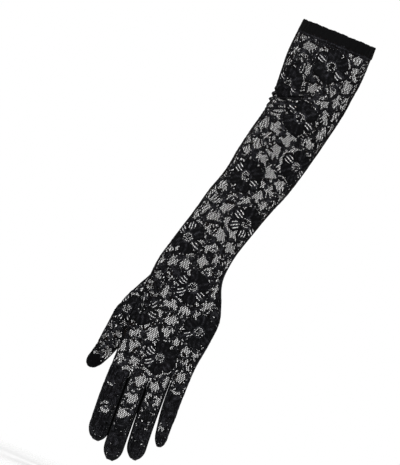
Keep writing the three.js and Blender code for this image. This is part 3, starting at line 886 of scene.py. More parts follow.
def draw_petal(pattern, centre, turn, root, tip, half, slits, lift, bow=0.0):
    """A round-ended petal, worked solid or with open slits along it."""
    steps = PETAL_ROWS[:, None]
    cuts, keep = petal_cuts(slits)
    scallop, scallop_pace = PETAL_SCALLOPS
    ripple, ripple_pace = PETAL_RIPPLE
    opening = 0.6 + 0.4 * np.sin(np.pi / 2 * np.minimum(steps / 0.62, 1))
    closing = np.sqrt(np.maximum(1 - (np.maximum(steps - 0.6, 0) / 0.41) ** 2, 0))
    outline = opening * closing * (1 + scallop * np.cos(steps * scallop_pace))
    along = np.broadcast_to(mix(root, tip, steps), cuts.shape)
    across = half * (outline * cuts + bow * np.sin(np.pi * steps))
    dome = 1 - cuts**2 * 0.9
    waves = ripple * np.cos(cuts * ripple_pace) * (0 if slits else 1)
    height = lift + PETAL_DOME * dome * (1 - 0.5 * (2 * steps - 1) ** 2) + waves * dome
    pattern.motif(centre, turn, along, across, height, keep)


def draw_eye(pattern, centre, turn, radius, is_ring, rng):
    """The middle of a flower: a worked disc with uneven rings of pinholes, or a ring."""
    rings = radius * EYE_RINGS[:, None]
    pairs = np.repeat(np.arange(EYE_SPOKES // 2), 2) + np.tile([0, 0.62], EYE_SPOKES // 2)
    angle = (np.append(pairs, EYE_SPOKES // 2) * 4 * np.pi / EYE_SPOKES)[None, :]
    keep = np.ones((len(rings) - 1, EYE_SPOKES), bool)
    for row, share in PINHOLES:
        keep[row, 1::2] = rng.random(EYE_SPOKES // 2) < share
    if is_ring:
        keep[1:6] = False
    rings = rings * (1 + 0.09 * np.sin(3 * angle + centre[1]) + 0.06 * np.cos(5 * angle))
    along, across = rings * np.cos(angle), rings * np.sin(angle)
    height = EYE_LIFT + 0.25 * np.cos(rings / radius * 7) + 0 * angle
    pattern.motif(centre, turn, along, across, height, keep)


def draw_leaf(pattern, centre, turn, length, half, lift, rows=7):
    """A small pointed leaf, worked solid with a groove along its middle."""
    steps = np.linspace(0, 1, rows)[:, None]
    cuts = np.array([-1, -0.5, 0, 0.5, 1])[None, :]
    outline = np.sin(np.pi * steps**0.85) ** 1.1 + 0.03
    along = np.broadcast_to(length * steps, (rows, 5))
    height = lift + np.array([0, 0.3, 0.12, 0.3, 0])[None, :] + 0 * steps
    pattern.motif(centre, turn, along, half * outline * cuts, height)


def draw_open_leaf(pattern, centre, turn, length, half):
    """A long leaf worked only along its edge and its midrib, with net between."""
    turns = np.linspace(0, 2 * np.pi, 25)[None, :]
    rings = np.array([1, 0.5, 0])[:, None]
    half_long = length / 2
    point = np.abs(np.cos(turns)) ** 3
    inward = OPEN_LEAF_BORDER * (1 - rings)
    reach = (half_long - inward * (1 + point)) * np.cos(turns)
    spread = (half - inward) * np.sin(turns) * (1 - 0.35 * point)
    height = OPEN_LEAF_LIFT + np.array([0, 0.25, 0])[:, None] + 0 * turns
    pattern.motif(centre, turn, reach[::-1], spread[::-1], height)
    rib = np.linspace(-0.9, 0.9, 7)[:, None] * half_long
    width = np.array([-0.5, 0, 0.5])[None, :] * OPEN_LEAF_BORDER * 0.8
    height = OPEN_LEAF_LIFT + np.array([0, 0.2, 0])[None, :] + 0 * rib
    pattern.motif(centre, turn, rib + 0 * width, width + 0 * rib, height)


def draw_stem(pattern, path, half, lift):
    """A cord of stitches along a path, thin at its ends when half is an array."""
    way = unit(np.gradient(path, axis=0))
    left = np.stack([-way[:, 1], way[:, 0]], -1)
    cuts = np.array([-1, 0, 1])[None, :, None]
    half = np.broadcast_to(half, len(path))[:, None, None]
    spread = path[:, None, :] + left[:, None, :] * cuts * half
    height = lift + np.array([0, 0.28, 0])[None, :] + np.zeros((len(path), 1))
    run = run_along(path)[:, None]
    pattern.patch(spread[..., 0], spread[..., 1], height, run + np.zeros((1, 3)),
                  np.array([-0.5, 0, 0.5])[None, :] + 0 * run)


def draw_flower(pattern, centre, turn, radius, kinds, is_palm, rng):
    """A six-petalled flower; in kinds, o is a solid petal and i an open one."""
    for number, kind in enumerate(kinds):
        is_open = kind == "i"
        width, reach, lift = OPEN_PETAL if is_open else SOLID_PETAL
        way = turn + 2 * math.pi * number / len(kinds)
        bow = rng.uniform(-PETAL_BOW, PETAL_BOW)
        slits = (RING_GAP if is_palm else SLITS) if is_open else None
        draw_petal(pattern, centre, way, radius * PETAL_ROOT, radius * reach, radius * width,
                   slits, lift, bow)
    draw_eye(pattern, centre, turn, radius * EYE_SHARE, is_palm, rng)


def inner_spots(corners, count):
    """Places spread over the inside of four-cornered faces."""
    shares = np.linspace(0.08, 0.92, count)
    return [
        mix(mix(corners[:, 0], corners[:, 1], a), mix(corners[:, 3], corners[:, 2], a), b)
        for a in shares for b in shares
    ]


class HeightMap:
    """The level of the highest worked lace in each small cell of the flat, or -1 for none."""

    def __init__(self, low, high, corners, levels):
        self.low = low
        self.top = np.full(np.ceil((high - low) / MAP_CELL).astype(int), -1.0)
        for spots in inner_spots(corners, 6):
            x, y = self.cells(spots)
            np.maximum.at(self.top, (x, y), levels)

    def cells(self, places):
        cells = np.floor((places - self.low) / MAP_CELL).astype(int)
        return np.clip(cells, 0, np.array(self.top.shape) - 1).T

    def at(self, places):
        x, y = self.cells(places)
        return self.top[x, y]


def drop_hidden(pattern, low, high):
    """Takes out what lies wholly under higher lace; returns the test of what is worked over."""
    u, v, lift, grain, relief, faces, kinds, levels = pattern.joined()
    places = np.stack([u, v], -1)
    corners = places[faces]
    worked = HeightMap(low, high, corners, levels)
    hidden = np.ones(len(faces), bool)
    for spots in inner_spots(corners, 3):
        hidden &= worked.at(spots) > levels + HIDING_HEIGHT
    shown = ~hidden
    pattern.parts = [(u, v, lift, grain, relief, faces[shown], kinds[shown], levels[shown])]
    bare = places[np.concatenate(pattern.bare)]
    closed = HeightMap(low, high, np.concatenate([corners, bare]),
                       np.append(levels, np.zeros(len(bare))))
    return lambda spots: closed.at(spots) >= 0


def draw_net(pattern, low, high, pitch, thread, covered, rng):
    """The net ground: two crossing families of threads, left out where motifs cover them.

    thread gives the width of a thread at a height. The threads lean to one side or the other,
    so that the net closes up at a shallow angle, as round threads do."""
    du, dv = pitch * math.cos(NET_ANGLE), pitch * math.sin(NET_ANGLE)
    rows, columns = int((high[1] - low[1]) / dv) + 2, int((high[0] - low[0]) / (2 * du)) + 2
    k, m = np.meshgrid(np.arange(rows), np.arange(columns), indexing="ij")
    nodes = np.stack([low[0] + (2 * m + k % 2) * du, low[1] + k * dv], -1)
    nodes = nodes + rng.normal(0, NET_WANDER * pitch, nodes.shape)
    odd = (k[:-1] % 2).astype(bool)[..., None]
    start, above = nodes[:-1], nodes[1:]
    right = np.where(odd, np.roll(above, -1, axis=1), above)
    left = np.where(odd, above, np.roll(above, 1, axis=1))
    for end, lift in zip((right, left), NET_LEVELS):
        a, b = start[:, 1:-1].reshape(-1, 2), end[:, 1:-1].reshape(-1, 2)
        hidden = covered(a) & covered(b) & covered((a + b) / 2)
        a, b = a[~hidden], b[~hidden]
        way = unit(b - a)
        wide = thread(a[:, 1:])
        off = np.stack([-way[:, 1], way[:, 0]], -1) * wide / 2 * math.cos(THREAD_LEAN)
        lap = way * wide * THREAD_LAP
        corners = np.stack([a - lap + off, a - lap - off, b + lap - off, b + lap + off], 1)
        count = len(a)
        turned = np.where(np.arange(count) % 2, 1, -1)[:, None]
        lean = math.sin(THREAD_LEAN) * wide / 2 * turned
        strip = [[0, 0], [0, pitch / 4], [pitch, pitch / 4], [pitch, 0]]
        pattern.add(corners[..., 0].ravel(), corners[..., 1].ravel(),
                    (lift + lean * np.array([1, -1, -1, 1])).ravel(), np.tile(strip, (count, 1)),
                    np.zeros(count * 4), np.arange(count * 4).reshape(-1, 4), NET, 0.0)


def scattered(rng, low, high, gap, allowed, tries):
    """Places spread evenly at random, no two nearer than gap."""
    chosen = np.zeros((0, 2))
    for _ in range(tries):
        spots = mix(low, high, rng.random((TRIES_AT_ONCE, 2)))
        for spot in spots[allowed(spots)]:
            if not len(chosen) or np.min(np.linalg.norm(chosen - spot, axis=1)) > gap:
                chosen = np.vstack([chosen, spot])
    return chosen


def cell_walls(seeds):
    """The walls of the cells round the seeds, as pairs of end points."""
    made = delaunay_2d_cdt([Vector(seed) for seed in seeds], [], [], 0, 1e-6)
    corners = np.array([list(p) for p in made[0]])
    middles, sides = [], {}
    for number, face in enumerate(made[2]):
        a, b, c = corners[list(face)]
        ab, ac = b - a, c - a
        turned = 2 * (ab[0] * ac[1] - ab[1] * ac[0])
        bb, cc = ab @ ab, ac @ ac
        middles.append(a + np.array([ac[1] * bb - ab[1] * cc, ab[0] * cc - ac[0] * bb]) / turned)
        for k in range(3):
            key = tuple(sorted((face[k], face[(k + 1) % 3])))
            sides.setdefault(key, []).append(number)
    return [(middles[s[0]], middles[s[1]]) for _, s in sorted(sides.items()) if len(s) == 2]


def on_flower(a, b, centres, radius):
    """Whether a wall from a to b lies on a flower or runs into its middle."""
    for centre in centres:
        reach = [np.linalg.norm(end - np.array(centre)) for end in (a, b)]
        if max(reach) < radius * INSIDE_FLOWER or min(reach) < radius * FLOWER_CORE:
            return True
    return False


def drawn(size, share):
    """A size that is drawn by lot: its least value and a share of how much more it may be."""
    return size[0] + size[1] * share


def draw_sprigs(pattern, walls, centres, radius, rng, sizes, fullness):
    """Stems along the cell walls, with leaves set on them, kept off the flowers.

    fullness is the share of the leaves that are drawn."""
    for a, b in walls:
        length = np.linalg.norm(b - a)
        pick = rng.random(6)
        if not STEM_LENGTHS[0] < length < STEM_LENGTHS[1] or on_flower(a, b, centres, radius):
            continue
        way = (b - a) / length
        left = np.array([-way[1], way[0]])
        turn = math.atan2(way[1], way[0])
        t = np.linspace(0, 1, max(4, int(length / STEM_STEP)))[:, None]
        bow = (pick[0] - 0.5) * STEM_BOW * length
        path = a + (b - a) * t + left * bow * 4 * t * (1 - t)
        draw_stem(pattern, path, sizes.stem_width * drawn(STEM_WIDTHS, pick[1]), STEM_LIFT)
        if length > LONE_LEAF_LENGTH and pick[2] < LONE_LEAF_SHARE * fullness:
            draw_leaf(pattern, a + way * LONE_LEAF_START * length, turn,
                      length * LONE_LEAF_REACH, drawn(LONE_LEAF_HALF, pick[3]),
                      LONE_LEAF_LIFT, LONE_LEAF_ROWS)
        elif length > LEAFY_LENGTH:
            for spot in next(spots for least, spots in LEAF_SPOTS if length > least):
                at = a + way * spot * length + left * bow * 4 * spot * (1 - spot)
                for sign in (1, -1):
                    if rng.random() < LEAF_SHARE * fullness:
                        share = rng.random() ** LEAF_SMALLNESS
                        size = sizes.leaf_length * drawn(LEAF_SIZES, share)
                        spread = sign * drawn(LEAF_SPREAD, rng.random())
                        half = size * LEAF_SLIMNESS
                        draw_leaf(pattern, at, turn + spread, size, half, LEAF_LIFT)
        elif pick[4] < 0.5:
            turned, *form = BUD_LEAF
            draw_leaf(pattern, a, turn + turned, *form)
        if pick[5] < END_LEAF_SHARE * fullness:
            for end, out in ((a, turn + math.pi), (b, turn)):
                lean = rng.uniform(-END_LEAF_LEAN, END_LEAF_LEAN)
                size = drawn(END_LEAF_LENGTH, rng.random())
                half = drawn(END_LEAF_HALF, rng.random())
                draw_leaf(pattern, end, out + lean, size, half, END_LEAF_LIFT)


def cell_ring(centre, radius, start=0.0):
    """Seeds of the cells round a flower."""
    turns = np.linspace(0, 2 * np.pi, CELLS_ROUND, endpoint=False) + start
    return np.array(centre) + radius * CELL_RING * np.stack([np.cos(turns), np.sin(turns)], -1)


def panel_pattern(panel, lace, net_shift, is_palm):
    """The whole drawing of one panel: flowers, leaves, sprigs, close lace and net."""
    rng = np.random.default_rng(PANEL_SEED)
    pattern, sizes = Pattern(), LaceSizes(lace)
    radius = sizes.flower_radius
    centres = []
    for x, z, turn, kinds in FLOWERS:
        spot = (panel.main.across_at(x, z), z)
        centres.append(spot)
        draw_flower(pattern, spot, math.radians(turn), radius, kinds, is_palm, rng)
    for x, z, turn, length, half in OPEN_LEAVES:
        spot = (panel.main.across_at(x, z), z)
        draw_open_leaf(pattern, spot, math.radians(turn), length, half)

    low, high = PANEL_FLAT

    def allowed(spots):
        left, right = panel.main.limits(spots[:, 1])
        good = (spots[:, 0] > left - 7) & (spots[:, 0] < right + 7)
        for centre in centres:
            distance = np.linalg.norm(spots - np.array(centre), axis=1)
            good &= distance > radius + sizes.cell_size * FLOWER_CLEARANCE
        return good

    seeds = [scattered(rng, low, high, sizes.cell_size, allowed, 200)]
    for centre in centres:
        seeds.append(cell_ring(centre, radius, rng.random()))
        seeds.append(np.array([centre]))
    walls = cell_walls(np.concatenate(seeds))
    draw_sprigs(pattern, walls, centres, radius, rng, sizes, PALM_FULLNESS if is_palm else 1.0)
    draw_close_lace(pattern, panel, rng)
    draw_edge_bands(pattern, panel, rng)
    draw_hem_fringe(pattern, panel, rng)
    draw_creases(pattern, panel)
    covered = drop_hidden(pattern, low, high)

    def thread(v):
        wider = ease((-v - WIDER_FROM) / WIDER_REACH)
        return sizes.net_thread * (1 + HAND_CLOSENESS * wider)

    draw_net(pattern, low + net_shift, high, sizes.net_pitch, thread, covered, rng)
    return pattern


def draw_hem_fringe(pattern, panel, rng):
    """The uneven worked edge with which the lace runs out from under the hem."""
    low, high = panel.main.limits(np.array([-HEM_WIDTH]))
    u = np.arange(low[0], high[0] + FRINGE_STEP, FRINGE_STEP)
    tufts = rng.random(len(u)) * (rng.random(len(u)) > 0.45)
    drop = 1.0 + 1.1 * np.sin(u * 0.37) ** 2 + 1.6 * tufts
    steps = np.linspace(0, 1, 5)[:, None]
    v = -(HEM_WIDTH - 0.8) - (drop[None, :] + 0.8) * steps[::-1]
    lift = 0.3 + 0.25 * np.sin(np.pi * steps) + 0 * v
    pattern.patch(u[None, :] + 0 * v, v, lift, v, u[None, :] + 0 * v)


def draw_creases(pattern, panel):
    """Narrow lines of doubled lace in the elbow's gathers, which climb round the arm."""
    for row_down, reach, half in CREASES:
        angle = np.linspace(0.05, reach, CREASE_STEPS)
        down = row_down - climb_at(row_down, angle)
        low, high = panel.main.limits(-down)
        u = mix(low, high, angle / np.pi)
        wander = 0.5 * np.sin(angle * 7 + row_down)
        thin = half * np.sin(np.pi * np.linspace(0.08, 1, CREASE_STEPS)) ** 0.6
        draw_stem(pattern, np.stack([u, wander - down], -1), thin, 0.3)


def rippled(lift, across):
    """Heights of worked lace: its lift with a ripple across."""
    base, ripple, pace = lift
    return base + ripple * np.cos(across * pace)


def draw_close_lace(pattern, panel, rng):
    """Close-worked lace that fills the fingertips, with small slits and a few net windows."""
    for finger, chart, start in zip(FINGERS, panel.fingers, CLOSE_FROM.values()):
        downs = np.append(np.arange(start, finger.tip_down - 0.5, CLOSE_ROW),
                          finger.tip_down - 0.05)
        low, high = chart.limits(-downs)
        steps = np.linspace(0, 1, CLOSE_COLUMNS + 1)[None, :]
        u = mix(low[:, None], high[:, None], steps)
        fading = np.clip(1 - np.arange(len(downs)) / 4, 0, 1)[:, None]
        v = -downs[:, None] + 2.2 * np.sin(steps * 9 + finger.order * 2) * fading
        keep = rng.random((len(downs) - 1, CLOSE_COLUMNS)) > CLOSE_SLITS
        middle_u = (u[:-1, :-1] + u[1:, 1:]) / 2
        middle_v = (v[:-1, :-1] + v[1:, 1:]) / 2
        for x, z, half_u, half_v in WINDOWS:
            spot = chart.across_at(x, z)
            turned = np.arctan2(middle_v - z, middle_u - spot)
            edge = 1 + 0.16 * np.cos(5 * turned + half_u) + 0.1 * np.cos(3 * turned)
            reach = ((middle_u - spot) / half_u) ** 2 + ((middle_v - z) / half_v) ** 2
            keep &= reach > edge**2
        height = rippled(CLOSE_LIFT, steps) + 0 * downs[:, None]
        pattern.close_lace(u, v, height, keep)
        draw_tip_motifs(pattern, chart, start + 3, finger.tip_down - 4, rng)


def draw_tip_motifs(pattern, chart, start, end, rng):
    """Petals and leaves worked close together over the close lace of a fingertip."""
    down = start
    while down < end:
        low, high = chart.limits(np.array(-down))
        for share in TIP_SPOTS:
            u = float(mix(low, high, share)) + rng.normal(0, TIP_SCATTER[0])
            v = -down + rng.normal(0, TIP_SCATTER[1])
            if any(math.hypot(u - chart.across_at(x, z), v - z) < half + 4
                   for x, z, half, _ in WINDOWS):
                continue
            turn = rng.uniform(0, 2 * math.pi)
            if rng.random() < TIP_PETALS:
                slits = SLITS if rng.random() < 0.5 else None
                draw_petal(pattern, (u, v), turn, *TIP_PETAL, slits, TIP_LIFT)
            else:
                for turned, length, half in TIP_LEAVES:
                    draw_leaf(pattern, (u, v), turn + turned, length, half, TIP_LIFT)
        down += TIP_STEP


def draw_edge_bands(pattern, panel, rng):
    """Close lace down both side seams, widest along the little-finger edge of the hand."""
    downs = np.arange(HEM_WIDTH, SPLIT_DOWN - 2, BAND_ROW)
    low, high = panel.main.limits(-downs)
    swell = np.sin(np.pi * np.clip((downs - SWELL_FROM) / SWELL_LENGTH, 0, 1)) ** 0.5
    ragged = np.zeros(len(downs))
    for rise, pace, start in BAND_RAGS:
        ragged += rise * np.sin(downs * pace + start)
    steps = np.linspace(0, 1, BAND_COLUMNS)[None, :]
    outer = BAND_WIDTHS[0] + SWELL_WIDTH * swell + ragged
    inner = BAND_WIDTHS[1] + ragged[::-1]
    for edge, inward, wide in ((high, -1, outer), (low, 1, inner)):
        u = edge[:, None] + inward * wide[:, None] * (1 - steps)
        v = -downs[:, None] + 0.5 * np.sin(steps * 9 + downs[:, None])
        keep = rng.random((len(downs) - 1, BAND_COLUMNS - 1)) > BAND_SLITS
        lift = rippled(BAND_LIFT, steps) + 0 * u
        across = slice(None, None, -inward)
        pattern.close_lace(u[:, across], v[:, across], lift[:, across], keep[:, across])


def laid(pattern, surface, cut):
    """The places, faces, kinds, grain and relief of a flat pattern laid on its surface."""
    u, v, lift, grain, relief, faces, kinds, _ = pattern.joined()
    points, outside, zone, below = surface.place(u, v, lift)
    keep = ~outside[faces].all(axis=1)
    zones = zone[faces]
    first, last = zones.min(axis=1), zones.max(axis=1)
    crotch = ROOT_DOWNS[np.minimum(first + 1, len(FINGERS))]
    past = (-v[faces]).max(axis=1) > crotch - 0.2
    keep &= ~((first != last) & below[faces].any(axis=1) & past)
    keep &= ~cut(points)[faces].all(axis=1)
    corners = points[faces]
    area = np.cross(corners[:, 2] - corners[:, 0], corners[:, 3] - corners[:, 1])
    keep &= np.linalg.norm(area, axis=1) > LEAST_AREA
    faces, kinds = faces[keep], kinds[keep]
    if surface.side > 0:
        faces = faces[:, ::-1]
    used, faces = np.unique(faces, return_inverse=True)
    faces = faces.reshape(-1, 4)
    return points[used], faces, kinds, grain[used], relief[used]


def lay(name, layers, materials, cut):
    """One mesh object of flat patterns, each laid on its surface."""
    points, faces, kinds, grain, relief = [], [], [], [], []
    for pattern, surface in layers:
        layer = laid(pattern, surface, cut)
        faces.append(layer[1] + sum(len(part) for part in points))
        for store, part in zip((points, kinds, grain, relief), (layer[0], *layer[2:])):
            store.append(part)
    kinds = np.concatenate(kinds)
    piece = mesh_object(name, np.concatenate(points), np.concatenate(faces), materials,
                        np.concatenate(grain), kinds, kinds != NET)
    # The lace's height from 0 to 1, which the thread finish uses to paint raised parts lighter and
    # low parts darker
    heights = piece.data.attributes.new("relief", "FLOAT", "POINT")
    heights.data.foreach_set("value", np.concatenate(relief).astype(np.float32))
    return piece


def mesh_object(name, points, faces, materials, grain, kinds=None, smooth=None):
    """A mesh object from millimetre points, with its materials and its grain as a UV map."""
    mesh = bpy.data.meshes.new(name)
    mesh.from_pydata((points * MM).tolist(), [], faces.tolist())
    for material in materials:
        mesh.materials.append(material)
    if kinds is not None:
        mesh.polygons.foreach_set("material_index", kinds.astype(np.int32))
    shade = np.ones(len(mesh.polygons), bool) if smooth is None else smooth
    mesh.polygons.foreach_set("use_smooth", shade)
    corner = np.zeros(len(mesh.loops), np.int32)
    mesh.loops.foreach_get("vertex_index", corner)
    layer = mesh.uv_layers.new(name="grain")
    layer.data.foreach_set("uv", grain[corner].astype(np.float32).ravel())
    mesh.update()
    piece = bpy.data.objects.new(name, mesh)
    bpy.context.scene.collection.objects.link(piece)
    return piece


def settle(piece, slot, *nodes):
    """Rides the piece on the glove and hides the solids that it stands for."""
    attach(piece, "root")
    if nodes:
        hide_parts(*nodes)
    return piece


class Wire:
    """A node's output socket; arithmetic on it adds Math nodes."""

    def __init__(self, tree, socket):
        self.tree = tree
        self.socket = socket

    def maths(self, operation, left, right):
        node = self.tree.nodes.new("ShaderNodeMath")
        node.operation = operation
        for place, value in enumerate((left, right)):
            if isinstance(value, Wire):
                self.tree.links.new(value.socket, node.inputs[place])
            else:
                node.inputs[place].default_value = value
        return Wire(self.tree, node.outputs[0])

    def __add__(self, other):
        return self.maths("ADD", self, other)

    def __radd__(self, other):
        return self.maths("ADD", other, self)

    def __sub__(self, other):
        return self.maths("SUBTRACT", self, other)

    def __rsub__(self, other):
        return self.maths("SUBTRACT", other, self)

    def __mul__(self, other):
        return self.maths("MULTIPLY", self, other)

    def __rmul__(self, other):
        return self.maths("MULTIPLY", other, self)


class Finish:
    """A material made of nodes, and the one way of adding a node to it."""

    def __init__(self, name):
        self.material = bpy.data.materials.new(name)
        self.material.use_nodes = True
        self.tree = self.material.node_tree
        self.tree.nodes.clear()
        self.surface = self.tree.nodes.new("ShaderNodeBsdfPrincipled")
        output = self.tree.nodes.new("ShaderNodeOutputMaterial")
        self.tree.links.new(self.surface.outputs[0], output.inputs[0])
        self.position = self.add("ShaderNodeTexCoord", output=3)
        self.grain = None

    def add(self, kind, settings=None, sockets=None, output=0):
        """Adds a node with its settings and its sockets' values or links."""
        node = self.tree.nodes.new(kind)
        for key, value in (settings or {}).items():
            setattr(node, key, value)
        self.fill(node, sockets or {})
        return Wire(self.tree, node.outputs[output])

    def fill(self, node, sockets):
        for key, value in sockets.items():
            if isinstance(value, Wire):
                self.tree.links.new(value.socket, node.inputs[key])
            else:
                node.inputs[key].default_value = value

    def shade(self, **sockets):
        """Sets the shader's sockets; a name's words are joined by underscores."""
        self.fill(self.surface, {key.replace("_", " "): value for key, value in sockets.items()})
        return self.material

    def blend(self, share, dark, light):
        """A colour between two, by a share."""
        return self.add("ShaderNodeMix", {"data_type": "RGBA"}, {0: share, 6: dark, 7: light}, 2)

    def noise(self, scale, detail=2.0):
        """Uneven patches over the piece, between 0 and 1."""
        return self.add("ShaderNodeTexNoise", {},
                        {"Vector": self.position, "Scale": scale, "Detail": detail})

    def wave(self, direction, scale, distortion=0.0):
        """Ridges across the grain of the thread, between 0 and 1."""
        if self.grain is None:
            self.grain = self.add("ShaderNodeUVMap", {"uv_map": "grain"})
        return self.add("ShaderNodeTexWave", {"wave_type": "BANDS", "bands_direction": direction},
                        {"Vector": self.grain, "Scale": scale, "Distortion": distortion}, 1)


def tint(colour, scale):
    return [min(channel * scale, 1.0) for channel in colour] + [1.0]


def thread_material(name, colour, grain_pitch, gloss, depth):
    """Stitched thread: fine ridges across the grain and uneven dye, with painted light: the colour
    is lighter on the raised lace and the ridges and darker in the low parts, and has small painted
    glints.
    """
    finish = Finish(name)
    ridges = finish.wave("DIAGONAL", WAVE_LENGTH / grain_pitch, 1.2)
    fuzz, dye = finish.noise(FUZZ_SCALE, 3.0), finish.noise(DYE_SCALE)
    # The lace's height, read so that its raised parts can be painted lighter
    relief = finish.add("ShaderNodeAttribute", {"attribute_name": "relief"}, output=2)
    patches = finish.noise(GLINT_PATCH_SCALE)
    # Painted glints: where fibres, patches, ridges and raised lace add up high, the colour turns to
    # a near-white lit tone
    shine = ridges * 0.2 + fuzz * 0.3 + patches * 0.5 + relief * 0.2
    glint = finish.add("ShaderNodeMapRange", {"interpolation_type": "SMOOTHSTEP"},
                       {"Value": shine, 1: 0.64, 2: 0.88})
    dark, light, lit = (tint(colour, scale) for scale in (0.25, 2.4, 26.0))
    # Painted light and shade: lighter on the raised lace and the ridges, darker in the low parts,
    # with random shades of dye besides
    tone = finish.blend(dye * 0.3 + ridges * 0.2 + relief * 0.5, dark, light)
    bump = finish.add("ShaderNodeBump", {}, {
        "Strength": 0.8, "Distance": depth, "Height": ridges * 0.7 + fuzz * 0.3,
    })
    return finish.shade(
        Base_Color=finish.blend(glint * 0.75, tone, lit),
        Roughness=gloss + fuzz * 0.2 - glint * 0.18, Normal=bump,
        Specular_IOR_Level=0.04, Sheen_Weight=0.006, Sheen_Roughness=0.45,
    )


def net_material(colour):
    """Fine twisted net thread, painted a little lighter along the twist's ridges as a highlight."""
    finish = Finish("net_thread")
    twist = finish.wave("DIAGONAL", 1.1)
    dye = finish.noise(NET_DYE_SCALE)
    # Painted highlight: lighter along the twist's ridges; the dye also varies at random
    tone = finish.blend(dye * 0.6 + twist * 0.3, tint(colour, 0.6), tint(colour, 1.5))
    bump = finish.add("ShaderNodeBump", {}, {"Strength": 0.5, "Distance": 0.0001, "Height": twist})
    return finish.shade(Base_Color=tone, Roughness=0.62 + dye * 0.2, Normal=bump,
                        Specular_IOR_Level=0.05, Sheen_Weight=0.005)


def knit_material(name, colour, rib_pitch):
    """Plain stretch knit: columns of stitches along the grain, painted lighter on their ridges as a
    highlight.
    """
    finish = Finish(name)
    ribs = finish.wave("X", WAVE_LENGTH / rib_pitch, 0.6)
    rows = finish.wave("Y", WAVE_LENGTH / (rib_pitch * 0.8), 1.4)
    fuzz, wear = finish.noise(KNIT_FUZZ_SCALE, 4.0), finish.noise(WEAR_SCALE, 3.0)
    stitch = ribs * 0.6 + rows * ribs * 0.4
    # Painted highlight on the stitches' ridges, with random wear in the tone besides
    tone = finish.blend(stitch * 0.5 + wear * 0.5, tint(colour, 0.5), tint(colour, 1.9))
    bump = finish.add("ShaderNodeBump", {}, {
        "Strength": 0.9, "Distance": 0.0003, "Height": stitch + fuzz * 0.4,
    })
    return finish.shade(
        Base_Color=tone, Roughness=0.74 + fuzz * 0.2 - ribs * 0.08, Normal=bump,
        Specular_IOR_Level=0.06, Sheen_Weight=0.01, Sheen_Roughness=0.5,
    )


MATERIALS = []


def lace_materials(lace):
    """The three finishes of a lace piece, made once."""
    if not MATERIALS:
        MATERIALS.extend([
            thread_material("lace_motif_thread", lace.motif_colour, 0.8, 0.5, 0.0003),
            net_material(lace.net_colour),
            thread_material("close_lace", lace.close_colour, 1.1, 0.56, 0.00025),
        ])
    return MATERIALS


SURFACES = {}


def surfaces():
    """The two panels and the thumb, worked out once."""
    if not SURFACES:
        SURFACES["back"], SURFACES["palm"] = Panel(-1), Panel(1)
        SURFACES["thumb"], SURFACES["thumb_palm"] = Thumb(-1), Thumb(1)
    return SURFACES


def tube(path, radius, outward, closed=False, around=8, squash=1.0):
    """Rings of points along a path, the faces between them, and their grain."""
    if closed:
        way = unit(np.roll(path, -1, axis=0) - np.roll(path, 1, axis=0))
    else:
        way = unit(np.gradient(path, axis=0))
    side = unit(np.cross(way, outward))
    up = np.cross(side, way)
    angle = np.linspace(0, 2 * np.pi, around, endpoint=False)
    cosine, sine = np.cos(angle)[None, :, None], np.sin(angle)[None, :, None]
    radius = np.broadcast_to(radius, len(path))[:, None, None]
    ring = side[:, None, :] * cosine + squash * up[:, None, :] * sine
    points = path[:, None, :] + radius * ring
    faces = grid_faces(len(path), around, closed, True).reshape(-1, 4)
    grain = np.broadcast_arrays(run_along(path)[:, None], (angle * 0.5)[None, :])
    return points.reshape(-1, 3), faces, np.stack(grain, -1).reshape(-1, 2)


def joined(parts):
    """Several sets of points, faces and grain as one."""
    points, faces, grain, count = [], [], [], 0
    for part_points, part_faces, part_grain in parts:
        points.append(part_points)
        faces.append(part_faces + count)
        grain.append(part_grain)
        count += len(part_points)
    return np.concatenate(points), np.concatenate(faces), np.concatenate(grain)


def stitches(path, outward, pitch, length, radius):
    """Short oversewn stitches across a seam, each a small bead."""
    run = run_along(path)

    def at(place, table):
        return np.array([np.interp(place, run, table[:, k]) for k in range(3)])

    parts = []
    t = np.linspace(-1, 1, 5)[:, None]
    thickness = radius * np.array([0.3, 0.9, 1, 0.9, 0.3])
    for place in np.arange(pitch / 2, run[-1], pitch):
        spot, out = at(place, path), at(place, outward)
        way = unit(at(place + 0.5, path) - spot)
        slant = unit(np.cross(way, out)) * 0.8 + way * 0.6
        bead = spot + slant * t * length / 2 + out * (radius * 1.2 * (1 - t**2))
        parts.append(tube(bead, thickness, np.broadcast_to(out, (5, 3)), around=5))
    return parts


class LaceProperties(bpy.types.PropertyGroup):
    flower_radius: bpy.props.FloatProperty(
        name="Flower radius", description="From a flower's middle to its petal tips",
        default=0.0165, min=0.008, max=0.03, unit="LENGTH")
    cell_size: bpy.props.FloatProperty(
        name="Cell size", description="Distance between neighbouring net openings",
        default=0.0105, min=0.006, max=0.03, unit="LENGTH")
    stem_width: bpy.props.FloatProperty(
        name="Stem width", description="Width of the cords that join the leaves",
        default=0.0011, min=0.0005, max=0.004, unit="LENGTH")
    leaf_length: bpy.props.FloatProperty(
        name="Leaf length", description="Length of the small solid leaves",
        default=0.006, min=0.002, max=0.012, unit="LENGTH")
    net_pitch: bpy.props.FloatProperty(
        name="Net pitch", description="Length of one side of a net mesh",
        default=0.0017, min=0.001, max=0.006, unit="LENGTH")
    net_thread: bpy.props.FloatProperty(
        name="Net thread", description="Width of the net's threads",
        default=0.00052, min=0.0001, max=0.001, unit="LENGTH")
    motif_colour: bpy.props.FloatVectorProperty(
        name="Motif colour", description="Dye of the worked flowers and leaves",
        subtype="COLOR", size=3, default=(0.003, 0.003, 0.0035), min=0, max=1)
    close_colour: bpy.props.FloatVectorProperty(
        name="Close lace colour", description="Dye of the close lace on the fingertips",
        subtype="COLOR", size=3, default=(0.0028, 0.0028, 0.0033), min=0, max=1)
    # The net's dye, set lighter than the motifs' partly as a painted sheen of the nylon
    net_colour: bpy.props.FloatVectorProperty(
        name="Net colour", description="Dye of the net ground",
        subtype="COLOR", size=3, default=(0.016, 0.0125, 0.0115), min=0, max=1)


